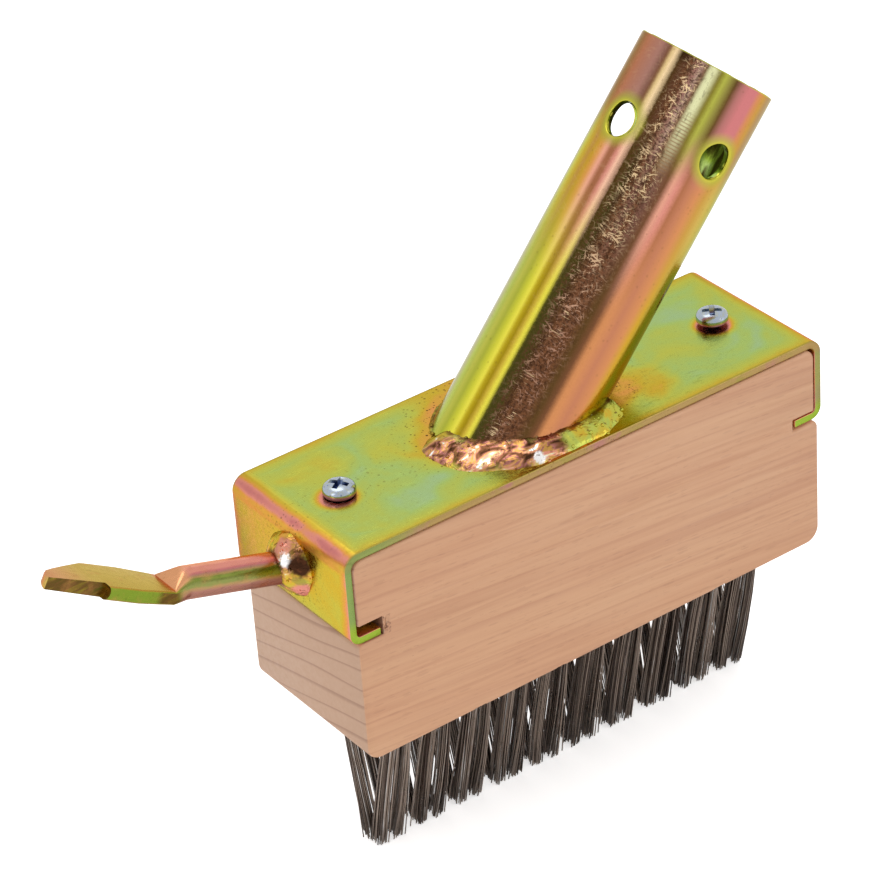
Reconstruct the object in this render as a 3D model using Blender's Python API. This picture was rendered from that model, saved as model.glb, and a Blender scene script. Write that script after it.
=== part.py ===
"""Head of a paving wire brush: a beech block with two converging rows of steel
wire tufts, held in a bent sheet bracket that carries a leaning handle socket
and a flattened rod scraper.

Frame: X runs along the block with the scraper at -X, Y is the depth with the
near side at -Y, Z is up. The wire tips stand on z = 0, and the origin lies
under the middle of the whole head's box. Lengths are metres.
"""

import math

import bmesh
import bpy
from mathutils import Matrix, Vector
from mathutils.geometry import delaunay_2d_cdt

# Beech block
BLOCK_LENGTH = 0.1394
BLOCK_WIDTH = 0.0460
BLOCK_HEIGHT = 0.0568
BLOCK_TOP_RADIUS = 0.0030
BLOCK_FOOT_RADIUS = 0.0040
BLOCK_EDGE_CHAMFER = 0.0006
SCRAPER_KERF_DROP = 0.0178
SCRAPER_KERF_HEIGHT = 0.0051
SCRAPER_KERF_DEPTH = 0.0071
SCRAPER_END_REBATE = 0.0003
FAR_KERF_DROP = 0.0182
FAR_KERF_HEIGHT = 0.0031
FAR_KERF_DEPTH = 0.0069
FAR_END_REBATE = 0.0011
KERF_MOUTH_RADIUS = 0.0018

# Wire tufts
WIRE_REACH = 0.0443
TUFTS_PER_ROW = 10
TUFT_PITCH = 0.0122
TUFT_ROW_SHIFT = 0.0021
ROW_HALF_SPACING = 0.0110
TIP_HALF_SPACING = 0.0015
TUFT_ROOT_RADIUS = 0.0028
TUFT_ROOT_DEPTH = 0.0140
TUFT_HOLE_RELIEF = 0.0008
TUFT_HALF_SPLIT = 0.0009
TUFT_FAN_LENGTHWAYS = 0.0036
TUFT_FAN_CROSSWAYS = 0.0012
WIRE_COLUMNS_PER_BUNDLE = 3
WIRES_PER_COLUMN = 4
WIRE_DIAMETER = 0.0005
WIRE_SCATTER = 0.00005
WIRE_TIP_SCATTER = 0.00016
WIRE_RAGGEDNESS = 0.0022
WIRE_FLAT = 0.0005

# Sheet bracket
SHEET_THICKNESS = 0.0020
FIT_GAP = 0.0003
TOP_BEND_RADIUS = 0.0040
LIP_BEND_RADIUS = 0.0032
LIP_REACH = 0.0086
SCRAPER_LIP_DROP = 0.0248
FAR_LIP_DROP = 0.0228

# Pan head screws
SCREW_INSET = 0.0153
SCREW_HEAD_DIAMETER = 0.0081
SCREW_HEAD_HEIGHT = 0.0029
SCREW_RIM_HEIGHT = 0.0011
SCREW_THREAD_DIAMETER = 0.0040
SCREW_CORE_DIAMETER = 0.0029
SCREW_PITCH = 0.0020
SCREW_LENGTH = 0.0220
SCREW_NECK = 0.0030
SCREW_POINT = 0.0040
RECESS_SPAN = 0.0044
RECESS_WIDTH = 0.0011
RECESS_DEPTH = 0.0017
FAR_SCREW_PROUD = 0.0004

# Handle socket
SOCKET_DIAMETER = 0.0348
SOCKET_WALL = 0.0020
SOCKET_LENGTH = 0.0941
SOCKET_SETBACK = 0.0037
SOCKET_LEAN = math.radians(40.5)
SOCKET_HOLE_DIAMETER = 0.0088
NEAR_HOLE_SETBACK = 0.0195
FAR_HOLE_SETBACK = 0.0213
BACK_HOLE_SETBACK = 0.0210
SOCKET_BEAD_LEG = 0.0036
SOCKET_BEAD_RISE = 0.0038
SOCKET_BEAD_LUMP = 0.0007

# Scraper
ROD_DIAMETER = 0.0080
ROD_LENGTH = 0.0305
ROD_RISE = math.radians(16.6)
ROD_DROP = 0.0133
BLADE_ROOT_WIDTH = 0.0098
BLADE_WIDTH = 0.0128
BLADE_THICKNESS = 0.0036
BLADE_TIP_THICKNESS = 0.0030
BLADE_EDGE_RADIUS = 0.0007
BLADE_LENGTH = 0.0368
BLADE_RISE = math.radians(31.0)
CRANK_LENGTH = 0.0050
CRANK_TURN = math.radians(5.0)
GRIND_LENGTH = 0.0168
GRIND_HEIGHT = 0.0042
GRIND_DEPTH = 0.0019
SCRAPER_BEAD_LEG = 0.0031
SCRAPER_BEAD_RISE = 0.0040
SCRAPER_BEAD_LUMP = 0.0008
CUT_OVERRUN = 0.0020

# Shares and facet counts
SOCKET_BEAD_SWELL_SHARES = (-0.42, -0.40, 0.0)
SCRAPER_BEAD_SWELL_SHARES = (0.0, -0.50, 0.22)
NOSE_STATION_SHARES = (0.42, 0.58, 0.94, 1.0)
NOSE_BACK_SHARES = (1.0, 1.0, 0.03, -0.55)
HEAD_CROWN_SHARES = ((1.0, 0.0), (0.95, 0.35), (0.80, 0.70), (0.55, 0.92), (0.28, 1.0))
THREAD_SHARES = (0.0, 1.0, 0.35)
RECESS_FOOT_SHARE = 0.45
SCREW_TIP_SHARE = 0.33
WIRE_LEVEL_SHARE = 0.22
BEAD_ARC_SHARES = ((0.72, 0.42), (0.42, 0.74))
SOCKET_FACETS = 48
ROD_QUARTER_FACETS = 6
BEND_STEPS = 6
ROOT_FACETS = 12
HOLE_FACETS = 16
SCREW_FACETS = 12
BEAD_FACETS = 40

# Levels and places that follow from the sizes above
BLOCK_TOP = WIRE_REACH + BLOCK_HEIGHT
PLATE_FOOT = BLOCK_TOP + FIT_GAP
PLATE_TOP = PLATE_FOOT + SHEET_THICKNESS
BRACKET_HALF = BLOCK_LENGTH / 2 + FIT_GAP + SHEET_THICKNESS
SCREW_OFFSET = BRACKET_HALF - SCREW_INSET
SOCKET_RADIUS = SOCKET_DIAMETER / 2
ROD_RADIUS = ROD_DIAMETER / 2


def clear_scene():
    """Remove everything that the scene holds."""
    for obj in list(bpy.data.objects):
        bpy.data.objects.remove(obj, do_unlink=True)


def make_material(name, colour, roughness, metallic):
    """A plain Principled material."""
    material = bpy.data.materials.new(name)
    material.use_nodes = True
    shader = material.node_tree.nodes["Principled BSDF"]
    shader.inputs["Base Color"].default_value = (*colour, 1.0)
    shader.inputs["Roughness"].default_value = roughness
    shader.inputs["Metallic"].default_value = metallic
    material.diffuse_color = (*colour, 1.0)
    return material


def add_body(name, bm, material, parent, smooth_below=None):
    """Turn a bmesh into a named object under the parent empty."""
    bmesh.ops.recalc_face_normals(bm, faces=bm.faces)
    mesh = bpy.data.meshes.new(name)
    bm.to_mesh(mesh)
    bm.free()
    if smooth_below is not None:
        mesh.shade_smooth()
        mesh.set_sharp_from_angle(angle=smooth_below)
    if material is not None:
        mesh.materials.append(material)
    obj = bpy.data.objects.new(name, mesh)
    bpy.context.collection.objects.link(obj)
    obj.parent = parent
    return obj


def cut_away(body, bm, name, parent):
    """Cut the shapes in a bmesh out of a body."""
    cutter = add_body(name, bm, None, parent)
    cutter.hide_render = True
    cutter.display_type = "WIRE"
    modifier = body.modifiers.new(name, "BOOLEAN")
    modifier.operation = "DIFFERENCE"
    modifier.solver = "EXACT"
    modifier.object = cutter


def loft(bm, rings, ring_of_rings=False):
    """Skin equal rings of points, capped at the ends unless they close up."""
    rows = [[bm.verts.new(point) for point in ring] for ring in rings]
    pairs = list(zip(rows, rows[1:]))
    if ring_of_rings:
        pairs.append((rows[-1], rows[0]))
    for low, high in pairs:
        count = len(low)
        for index in range(count):
            after = (index + 1) % count
            bm.faces.new((low[index], low[after], high[after], high[index]))
    if not ring_of_rings:
        bm.faces.new(rows[0][::-1])
        bm.faces.new(rows[-1])


def arc_points(centre_x, centre_z, radius, start, stop, steps=BEND_STEPS):
    """Points of an arc in the XZ plane, ends included."""
    return [(centre_x + radius * math.cos(start + (stop - start) * step / steps),
             centre_z + radius * math.sin(start + (stop - start) * step / steps))
            for step in range(steps + 1)]


def extrude_outline(bm, outline, width):
    """Extrude an XZ outline along Y, centred on the XZ plane."""
    loft(bm, [[Vector((x, side * width / 2, z)) for x, z in outline] for side in (-1, 1)])


def circle_points(centre, axis_u, axis_v, radius, count):
    """Points of a circle in the plane of two unit axes."""
    turn = 2.0 * math.pi / count
    return [centre + radius * (math.cos(turn * step) * axis_u + math.sin(turn * step) * axis_v)
            for step in range(count)]


def add_rod(bm, start, end, radius, count, radius_end=None):
    """A capped cylinder or cone between two points."""
    axis = (end - start).normalized()
    side = axis.orthogonal().normalized()
    other = axis.cross(side)
    last = radius if radius_end is None else radius_end
    loft(bm, [circle_points(start, side, other, radius, count),
              circle_points(end, side, other, last, count)])


def block_end(kerf_drop, kerf_height, kerf_depth, rebate):
    """One end of the block's side outline, from its foot up to its top."""
    half = BLOCK_LENGTH / 2
    proud = half + rebate
    kerf_top = BLOCK_TOP - kerf_drop
    kerf_foot = kerf_top - kerf_height
    mouth = KERF_MOUTH_RADIUS
    end = arc_points(proud - BLOCK_FOOT_RADIUS, WIRE_REACH + BLOCK_FOOT_RADIUS,
                     BLOCK_FOOT_RADIUS, -math.pi / 2, 0.0)
    end += arc_points(proud - mouth, kerf_foot - mouth, mouth, 0.0, math.pi / 2)
    end += [(half - kerf_depth, kerf_foot), (half - kerf_depth, kerf_top), (half, kerf_top)]
    end += arc_points(half - BLOCK_TOP_RADIUS, BLOCK_TOP - BLOCK_TOP_RADIUS,
                      BLOCK_TOP_RADIUS, 0.0, math.pi / 2)
    return end


def block_outline():
    """Side outline of the block, with a kerf across each end."""
    far = block_end(FAR_KERF_DROP, FAR_KERF_HEIGHT, FAR_KERF_DEPTH, FAR_END_REBATE)
    near = block_end(SCRAPER_KERF_DROP, SCRAPER_KERF_HEIGHT, SCRAPER_KERF_DEPTH,
                     SCRAPER_END_REBATE)
    return far + [(-x, z) for x, z in reversed(near)]


def tuft_columns():
    """X of each pair of tufts."""
    first = TUFT_ROW_SHIFT - TUFT_PITCH * (TUFTS_PER_ROW - 1) / 2
    return [first + TUFT_PITCH * column for column in range(TUFTS_PER_ROW)]


def tuft_axis(column_x, side, height):
    """Point of a tuft's axis at a height over the wire tips."""
    share = height / WIRE_REACH
    spread = TIP_HALF_SPACING + (ROW_HALF_SPACING - TIP_HALF_SPACING) * share
    return Vector((column_x, side * spread, height))


def level_circle(centre, radius, count):
    """Points of a level circle."""
    return circle_points(centre, Vector((1, 0, 0)), Vector((0, 1, 0)), radius, count)


def build_block(material, parent):
    """The beech block with its kerfs, tuft holes and screw holes."""
    bm = bmesh.new()
    extrude_outline(bm, block_outline(), BLOCK_WIDTH)
    block = add_body("brush_block", bm, material, parent)
    chamfer = block.modifiers.new("edge_chamfer", "BEVEL")
    chamfer.width = BLOCK_EDGE_CHAMFER
    chamfer.segments = 1
    chamfer.limit_method = "ANGLE"
    chamfer.angle_limit = math.radians(60)

    holes = bmesh.new()
    hole_radius = TUFT_ROOT_RADIUS + FIT_GAP
    hole_top = WIRE_REACH + TUFT_ROOT_DEPTH + TUFT_HOLE_RELIEF
    for column_x in tuft_columns():
        for side in (-1, 1):
            low = tuft_axis(column_x, side, WIRE_REACH - CUT_OVERRUN)
            high = tuft_axis(column_x, side, hole_top)
            loft(holes, [level_circle(point, hole_radius, ROOT_FACETS) for point in (low, high)])
    cut_away(block, holes, "tuft_holes", parent)

    pilots = bmesh.new()
    for end in (-1, 1):
        foot = Vector((end * SCREW_OFFSET, 0, PLATE_TOP - SCREW_LENGTH - FIT_GAP))
        mouth = Vector((end * SCREW_OFFSET, 0, BLOCK_TOP + CUT_OVERRUN))
        add_rod(pilots, foot, mouth, SCREW_THREAD_DIAMETER / 2 + FIT_GAP, HOLE_FACETS)
    cut_away(block, pilots, "pilot_holes", parent)
    return block


def strap_side(lip_drop, end):
    """Outer and inner edge of one end of the strap, from the plate to its lip."""
    sheet = SHEET_THICKNESS
    lip_foot = PLATE_TOP - lip_drop
    bend_x = BRACKET_HALF - TOP_BEND_RADIUS
    bend_z = PLATE_TOP - TOP_BEND_RADIUS
    low_x = BRACKET_HALF - LIP_BEND_RADIUS
    low_z = lip_foot + LIP_BEND_RADIUS
    tip_x = BRACKET_HALF - LIP_REACH
    outer = arc_points(bend_x, bend_z, TOP_BEND_RADIUS, math.pi / 2, 0.0)
    outer += arc_points(low_x, low_z, LIP_BEND_RADIUS, 0.0, -math.pi / 2)
    outer.append((tip_x, lip_foot))
    inner = arc_points(bend_x, bend_z, TOP_BEND_RADIUS - sheet, math.pi / 2, 0.0)
    inner += arc_points(low_x, low_z, LIP_BEND_RADIUS - sheet, 0.0, -math.pi / 2)
    inner.append((tip_x, lip_foot + sheet))
    path = outer + inner[::-1]
    return [(end * x, z) for x, z in path]


def build_bracket(material, parent):
    """The bent strap whose lips hook into the block's kerfs."""
    outline = strap_side(FAR_LIP_DROP, 1) + strap_side(SCRAPER_LIP_DROP, -1)[::-1]
    bm = bmesh.new()
    extrude_outline(bm, outline, BLOCK_WIDTH)
    bracket = add_body("mounting_bracket", bm, material, parent, math.radians(30))
    holes = bmesh.new()
    for end in (-1, 1):
        low = Vector((end * SCREW_OFFSET, 0, PLATE_FOOT - CUT_OVERRUN))
        high = Vector((end * SCREW_OFFSET, 0, PLATE_TOP + CUT_OVERRUN))
        add_rod(holes, low, high, SCREW_THREAD_DIAMETER / 2 + FIT_GAP, HOLE_FACETS)
    cut_away(bracket, holes, "screw_holes", parent)
    return bracket


def recess_outline(span, width):
    """Outline of a cross recess, round the screw's axis."""
    arm, slot = span / 2, width / 2
    corners = []
    for quarter in range(4):
        turn = Matrix.Rotation(quarter * math.pi / 2, 3, "Z")
        corners += [turn @ Vector(point)
                    for point in ((arm, -slot, 0), (arm, slot, 0), (slot, slot, 0))]
    return corners


def build_screw(name, end, proud, material, parent):
    """A pan head screw with its thread and cross recess."""
    axis = Vector((end * SCREW_OFFSET, 0, 0))
    seat = PLATE_TOP + FIT_GAP + proud
    up = Vector((0, 0, 1))
    core, crest = SCREW_CORE_DIAMETER / 2, SCREW_THREAD_DIAMETER / 2
    steps = len(THREAD_SHARES)
    thread_foot = seat - SCREW_LENGTH + SCREW_POINT
    thread_top = seat - SHEET_THICKNESS - SCREW_NECK
    levels = max(steps, round((thread_top - thread_foot) / SCREW_PITCH * steps))
    tip = axis + up * (seat - SCREW_LENGTH)
    rings = [level_circle(tip, core * SCREW_TIP_SHARE, SCREW_FACETS)]
    for level in range(levels + 1):
        height = thread_foot + (thread_top - thread_foot) * level / levels
        ring = []
        for facet in range(SCREW_FACETS):
            turn = 2.0 * math.pi * facet / SCREW_FACETS
            phase = (level / steps - facet / SCREW_FACETS) % 1.0 * steps
            low = int(phase) % steps
            blend = phase - int(phase)
            share = (THREAD_SHARES[low] * (1.0 - blend)
                     + THREAD_SHARES[(low + 1) % steps] * blend)
            share *= min(1.0, (levels - level) / steps)
            radius = core + (crest - core) * share
            ring.append(axis + Vector((radius * math.cos(turn), radius * math.sin(turn), height)))
        rings.append(ring)
    rings.append(level_circle(axis + up * seat, crest, SCREW_FACETS))
    half = SCREW_HEAD_DIAMETER / 2
    rings.append(level_circle(axis + up * seat, half, SCREW_FACETS))
    crown = SCREW_HEAD_HEIGHT - SCREW_RIM_HEIGHT
    for wide, high in HEAD_CROWN_SHARES:
        height = seat + SCREW_RIM_HEIGHT + crown * high
        rings.append(level_circle(axis + up * height, half * wide, SCREW_FACETS))
    bm = bmesh.new()
    loft(bm, rings)
    screw = add_body(name, bm, material, parent, math.radians(35))
    top = seat + SCREW_HEAD_HEIGHT
    recess = bmesh.new()
    foot = recess_outline(RECESS_SPAN * RECESS_FOOT_SHARE, RECESS_WIDTH * RECESS_FOOT_SHARE)
    mouth = recess_outline(RECESS_SPAN, RECESS_WIDTH)
    loft(recess, [[axis + up * (top - RECESS_DEPTH) + corner for corner in foot],
                  [axis + up * (top + RECESS_DEPTH) + corner * 2 - corner * RECESS_FOOT_SHARE
                   for corner in mouth]])
    cut_away(screw, recess, name + "_recess", parent)
    return screw


def socket_frame():
    """Foot, axis and the two cross directions of the leaning socket."""
    foot = Vector((-SOCKET_SETBACK, 0, PLATE_TOP))
    axis = Vector((math.sin(SOCKET_LEAN), 0, math.cos(SOCKET_LEAN)))
    side = Vector((0, 1, 0))
    return foot, axis, side, axis.cross(side)


def build_socket(material, parent):
    """The welded tube that takes the handle, with three holes near its rim."""
    foot, axis, side, other = socket_frame()
    bore = SOCKET_RADIUS - SOCKET_WALL
    rim = foot + axis * SOCKET_LENGTH
    rings = []
    for radius, at_rim in ((SOCKET_RADIUS, False), (SOCKET_RADIUS, True),
                           (bore, True), (bore, False)):
        ring = circle_points(rim, side, other, radius, SOCKET_FACETS)
        if not at_rim:
            level = PLATE_TOP + FIT_GAP
            ring = [point + axis * ((level - point.z) / axis.z) for point in ring]
        rings.append(ring)
    bm = bmesh.new()
    loft(bm, rings, ring_of_rings=True)
    socket = add_body("handle_socket", bm, material, parent, math.radians(30))
    holes = bmesh.new()
    for direction, setback in ((-side, NEAR_HOLE_SETBACK), (side, FAR_HOLE_SETBACK),
                               (other, BACK_HOLE_SETBACK)):
        centre = rim - axis * setback
        add_rod(holes, centre + direction * (bore - CUT_OVERRUN),
                centre + direction * (SOCKET_RADIUS + CUT_OVERRUN),
                SOCKET_HOLE_DIAMETER / 2, HOLE_FACETS)
    cut_away(socket, holes, "handle_holes", parent)
    return socket


def lumpy(turn, seed):
    """A smooth uneven value between -1 and 1 round a ring."""
    return (0.5 * math.sin(5 * turn + seed) + 0.3 * math.sin(9 * turn + 2.1 * seed)
            + 0.2 * math.sin(14 * turn + 3.7 * seed))


def bead_rings(foot, axis, normal, radius, leg, rise, lump, swell):
    """Sections of a weld bead where a round bar or tube meets a flat face."""
    side = axis.orthogonal().normalized()
    other = axis.cross(side)
    rings = []
    for step in range(BEAD_FACETS):
        turn = 2.0 * math.pi * step / BEAD_FACETS
        out = side * math.cos(turn) + other * math.sin(turn)
        flat_out = (out - normal * out.dot(normal)).normalized()
        wall = foot + out * (radius + FIT_GAP)
        lift = (FIT_GAP - (wall - foot).dot(normal)) / axis.dot(normal)
        root = wall + axis * lift
        grow = 1.0 + max(0.0, flat_out.dot(swell)) * swell.length
        reach = leg * grow + lump * lumpy(turn, leg / lump)
        climb = rise * grow + lump * lumpy(turn, rise / lump) / 2
        top = root + axis * climb
        toe = root + flat_out * (reach + climb * max(0.0, axis.dot(flat_out)))
        ring = [root, toe]
        for across, along in BEAD_ARC_SHARES:
            ring.append(root + (toe - root) * across + (top - root) * along)
        ring.append(top)
        rings.append(ring)
    return rings


def build_socket_bead(material, parent):
    """The bead round the foot of the socket."""
    foot, axis, _, _ = socket_frame()
    bm = bmesh.new()
    loft(bm, bead_rings(foot, axis, Vector((0, 0, 1)), SOCKET_RADIUS, SOCKET_BEAD_LEG,
                        SOCKET_BEAD_RISE, SOCKET_BEAD_LUMP, Vector(SOCKET_BEAD_SWELL_SHARES)),
         ring_of_rings=True)
    return add_body("socket_weld_bead", bm, material, parent, math.radians(50))


def rod_frame():
    """Foot on the flap and direction of the scraper's round rod."""
    foot = Vector((-BRACKET_HALF, 0, PLATE_TOP - ROD_DROP))
    axis = Vector((-math.cos(ROD_RISE), 0, math.sin(ROD_RISE)))
    return foot, axis


def section_ring(centre, rise, near, far, half_thickness, corner):
    """A rounded section across the scraper between two Y values."""
    normal = Vector((math.sin(rise), 0, math.cos(rise)))
    across = Vector((0, 1, 0))
    ring = []
    for quarter in range(4):
        for step in range(ROD_QUARTER_FACETS):
            turn = math.pi / 2 * (quarter + (step + 0.5) / ROD_QUARTER_FACETS)
            edge = far - corner if math.cos(turn) > 0 else near + corner
            level = math.copysign(half_thickness - corner, math.sin(turn))
            ring.append(centre + across * (edge + corner * math.cos(turn))
                        + normal * (level + corner * math.sin(turn)))
    return ring


def blade_frame():
    """Start and direction of the flattened blade."""
    foot, axis = rod_frame()
    crank = Vector((-math.cos(CRANK_TURN), 0, math.sin(CRANK_TURN)))
    start = foot + axis * ROD_LENGTH + crank * CRANK_LENGTH
    return start, Vector((-math.cos(BLADE_RISE), 0, math.sin(BLADE_RISE)))


def build_scraper(material, parent):
    """The round rod, cranked and flattened into a pointed blade."""
    foot, axis = rod_frame()
    root = section_ring(foot, ROD_RISE, -ROD_RADIUS, ROD_RADIUS, ROD_RADIUS, ROD_RADIUS)
    face = foot.x - FIT_GAP
    rings = [[point + axis * ((face - point.x) / axis.x) for point in root]]
    rings.append(section_ring(foot + axis * ROD_LENGTH, ROD_RISE, -ROD_RADIUS, ROD_RADIUS,
                              ROD_RADIUS, ROD_RADIUS))
    start, along = blade_frame()
    half_width, half_thickness = BLADE_WIDTH / 2, BLADE_THICKNESS / 2
    half_root = BLADE_ROOT_WIDTH / 2
    rings.append(section_ring(start, BLADE_RISE, -half_root, half_root, half_thickness,
                              BLADE_EDGE_RADIUS))
    for station, back in zip(NOSE_STATION_SHARES, NOSE_BACK_SHARES):
        thin = half_thickness
        if back < 1.0:
            thin = BLADE_TIP_THICKNESS / 2
        rings.append(section_ring(start + along * (BLADE_LENGTH * station), BLADE_RISE,
                                  -half_width, half_width * back, thin, BLADE_EDGE_RADIUS))
    bm = bmesh.new()
    loft(bm, rings)
    scraper = add_body("weed_scraper", bm, material, parent, math.radians(35))

    normal = Vector((math.sin(BLADE_RISE), 0, math.cos(BLADE_RISE)))
    half_high = GRIND_HEIGHT / 2
    first = BLADE_LENGTH - GRIND_LENGTH + half_high
    outline = [(first + half_high * x, half_high * z)
               for x, z in arc_points(0, 0, 1, math.pi / 2, math.pi * 1.5)]
    outline += [(BLADE_LENGTH + CUT_OVERRUN, -half_high), (BLADE_LENGTH + CUT_OVERRUN, half_high)]
    grind = bmesh.new()
    loft(grind, [[start + along * length + normal * level + Vector((0, y, 0))
                  for length, level in outline]
                 for y in (-half_width + GRIND_DEPTH, -half_width - CUT_OVERRUN)])
    cut_away(scraper, grind, "ground_edge", parent)
    return scraper


def build_scraper_bead(material, parent):
    """The lump of weld round the rod's root, heaviest on its near upper side."""
    foot, axis = rod_frame()
    bm = bmesh.new()
    loft(bm, bead_rings(foot, axis, Vector((-1, 0, 0)), ROD_RADIUS, SCRAPER_BEAD_LEG,
                        SCRAPER_BEAD_RISE, SCRAPER_BEAD_LUMP, Vector(SCRAPER_BEAD_SWELL_SHARES)),
         ring_of_rings=True)
    return add_body("scraper_weld_bead", bm, material, parent, math.radians(50))


def wire_offsets(seed):
    """Root and tip offsets, and a shortness share, of each wire of a tuft.

    A tuft is folded over its anchor, so its wires rise in two bundles that
    stand a little apart along the row.
    """
    widest = TUFT_ROOT_RADIUS - WIRE_DIAMETER / 2 - WIRE_SCATTER
    offsets = []
    for bundle in (-1, 1):
        for column in range(WIRE_COLUMNS_PER_BUNDLE):
            out = (column + 0.5) / WIRE_COLUMNS_PER_BUNDLE
            away = TUFT_HALF_SPLIT + (widest - TUFT_HALF_SPLIT) * out
            chord = math.sqrt(widest * widest - away * away)
            fan = away / widest * TUFT_FAN_LENGTHWAYS
            for wire in range(WIRES_PER_COLUMN):
                across = (2 * wire + 1) / WIRES_PER_COLUMN - 1.0
                phase = seed + 7 * wire + 11 * column + 5 * bundle
                shake, sway = lumpy(phase, seed), lumpy(phase, seed + phase)
                root = Vector((bundle * away + WIRE_SCATTER * shake, across * chord, 0))
                tip = Vector((bundle * fan + WIRE_TIP_SCATTER * sway,
                              across * TUFT_FAN_CROSSWAYS, 0))
                offsets.append((root, tip, 0.5 + 0.5 * lumpy(phase * seed, phase)))
    return offsets


def build_tuft(name, column_x, side, material, parent):
    """One tuft: its root in the block's hole and the wires that fan out of it."""
    bm = bmesh.new()
    root_top = tuft_axis(column_x, side, WIRE_REACH + TUFT_ROOT_DEPTH)
    root_foot = tuft_axis(column_x, side, WIRE_REACH)
    tip = tuft_axis(column_x, side, 0)
    top = [bm.verts.new(p) for p in level_circle(root_top, TUFT_ROOT_RADIUS, ROOT_FACETS)]
    foot = [bm.verts.new(p) for p in level_circle(root_foot, TUFT_ROOT_RADIUS, ROOT_FACETS)]
    bm.faces.new(top)
    for index in range(ROOT_FACETS):
        after = (index + 1) % ROOT_FACETS
        bm.faces.new((top[index], top[after], foot[after], foot[index]))

    lower = list(foot)
    owner = [-1] * ROOT_FACETS
    for wire, (root_offset, tip_offset, short) in enumerate(
            wire_offsets(column_x / TUFT_PITCH + 2 * side)):
        start, end = root_foot + root_offset, tip + tip_offset
        cut = max(0.0, WIRE_RAGGEDNESS * (short - WIRE_LEVEL_SHARE) - WIRE_FLAT)
        end += (start - end) * (cut / WIRE_REACH)
        near = [bm.verts.new(p) for p in level_circle(start, WIRE_DIAMETER / 2, 3)]
        far = [bm.verts.new(p) for p in level_circle(end, WIRE_DIAMETER / 2, 3)]
        for index in range(3):
            after = (index + 1) % 3
            bm.faces.new((near[index], near[after], far[after], far[index]))
        bm.faces.new(far)
        lower += near
        owner += [wire] * 3

    flat = [(vert.co - root_foot).xy / TUFT_ROOT_RADIUS for vert in lower]
    edges = [(index, (index + 1) % ROOT_FACETS) for index in range(ROOT_FACETS)]
    for first in range(ROOT_FACETS, len(flat), 3):
        edges += [(first, first + 1), (first + 1, first + 2), (first + 2, first)]
    _, _, faces, origins, _, _ = delaunay_2d_cdt(flat, edges, [], 0, 1e-6, True)
    for face in faces:
        picked = [origins[corner][0] for corner in face]
        if len({owner[index] for index in picked}) > 1 or owner[picked[0]] < 0:
            bm.faces.new([lower[index] for index in picked])
    return add_body(name, bm, material, parent)


def centre_head(root):
    """Move the head so that the origin lies under the middle of its box."""
    bpy.context.view_layer.update()
    graph = bpy.context.evaluated_depsgraph_get()
    spots = []
    for obj in bpy.data.objects:
        if obj.type == "MESH" and not obj.hide_render:
            shape = obj.evaluated_get(graph)
            spots += [shape.matrix_world @ vert.co for vert in shape.data.vertices]
    middle = [(min(spot[i] for spot in spots) + max(spot[i] for spot in spots)) / 2
              for i in range(2)]
    root.location = (-middle[0], -middle[1], 0)
    bpy.context.view_layer.update()
    print("head centre moved by", [round(value, 6) for value in root.location])


def main():
    """Build every piece of the brush head."""
    clear_scene()
    beech = make_material("beech", (0.62, 0.40, 0.26), 0.6, 0.0)
    chromate = make_material("yellow_chromate_steel", (0.66, 0.52, 0.16), 0.28, 1.0)
    tube = make_material("yellow_chromate_tube", (0.60, 0.42, 0.20), 0.22, 1.0)
    weld = make_material("chromate_weld", (0.55, 0.36, 0.24), 0.35, 1.0)
    zinc = make_material("bright_zinc_screw", (0.72, 0.74, 0.76), 0.25, 1.0)
    wire = make_material("steel_wire", (0.18, 0.16, 0.15), 0.45, 1.0)

    root = bpy.data.objects.new("head", None)
    bpy.context.collection.objects.link(root)
    build_block(beech, root)
    build_bracket(chromate, root)
    build_socket(tube, root)
    build_socket_bead(weld, root)
    build_scraper(chromate, root)
    build_scraper_bead(weld, root)
    build_screw("bracket_screw_left", -1, 0, zinc, root)
    build_screw("bracket_screw_right", 1, FAR_SCREW_PROUD, zinc, root)
    for column, column_x in enumerate(tuft_columns(), 1):
        build_tuft(f"tuft_front_{column:02d}", column_x, -1, wire, root)
        build_tuft(f"tuft_back_{column:02d}", column_x, 1, wire, root)
    centre_head(root)


if __name__ == "__main__":
    main()
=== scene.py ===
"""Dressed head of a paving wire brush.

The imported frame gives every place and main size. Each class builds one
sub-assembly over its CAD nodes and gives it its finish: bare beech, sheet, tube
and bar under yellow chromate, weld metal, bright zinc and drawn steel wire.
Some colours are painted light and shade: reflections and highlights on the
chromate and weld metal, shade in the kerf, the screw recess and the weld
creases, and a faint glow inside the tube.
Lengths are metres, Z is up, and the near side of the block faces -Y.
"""

import logging
from dataclasses import dataclass
from enum import Enum
from math import asin, atan2, copysign, cos, hypot, pi, radians, sin, sqrt
from typing import Iterable, Sequence

import bmesh
import bpy
from mathutils import Matrix, Vector, noise

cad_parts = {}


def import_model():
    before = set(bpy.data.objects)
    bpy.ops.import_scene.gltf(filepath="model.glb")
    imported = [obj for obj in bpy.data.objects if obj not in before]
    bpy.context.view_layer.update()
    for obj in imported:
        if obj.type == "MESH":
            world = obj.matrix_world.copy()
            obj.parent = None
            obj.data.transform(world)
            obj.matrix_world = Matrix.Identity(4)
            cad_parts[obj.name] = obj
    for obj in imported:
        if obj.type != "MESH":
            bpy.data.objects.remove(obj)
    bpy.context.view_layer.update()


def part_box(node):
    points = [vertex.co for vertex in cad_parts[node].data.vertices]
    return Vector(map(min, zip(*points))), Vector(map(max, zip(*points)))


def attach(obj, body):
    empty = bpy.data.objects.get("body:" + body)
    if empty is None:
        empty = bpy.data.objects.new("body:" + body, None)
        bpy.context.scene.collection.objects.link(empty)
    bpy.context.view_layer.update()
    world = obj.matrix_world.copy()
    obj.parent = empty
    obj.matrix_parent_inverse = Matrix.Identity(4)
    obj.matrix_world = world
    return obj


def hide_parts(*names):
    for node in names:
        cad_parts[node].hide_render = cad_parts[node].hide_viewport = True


LOG = logging.getLogger("wire_brush")
BODY = "root"
MM = 0.001
QUARTER = pi / 2
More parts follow.
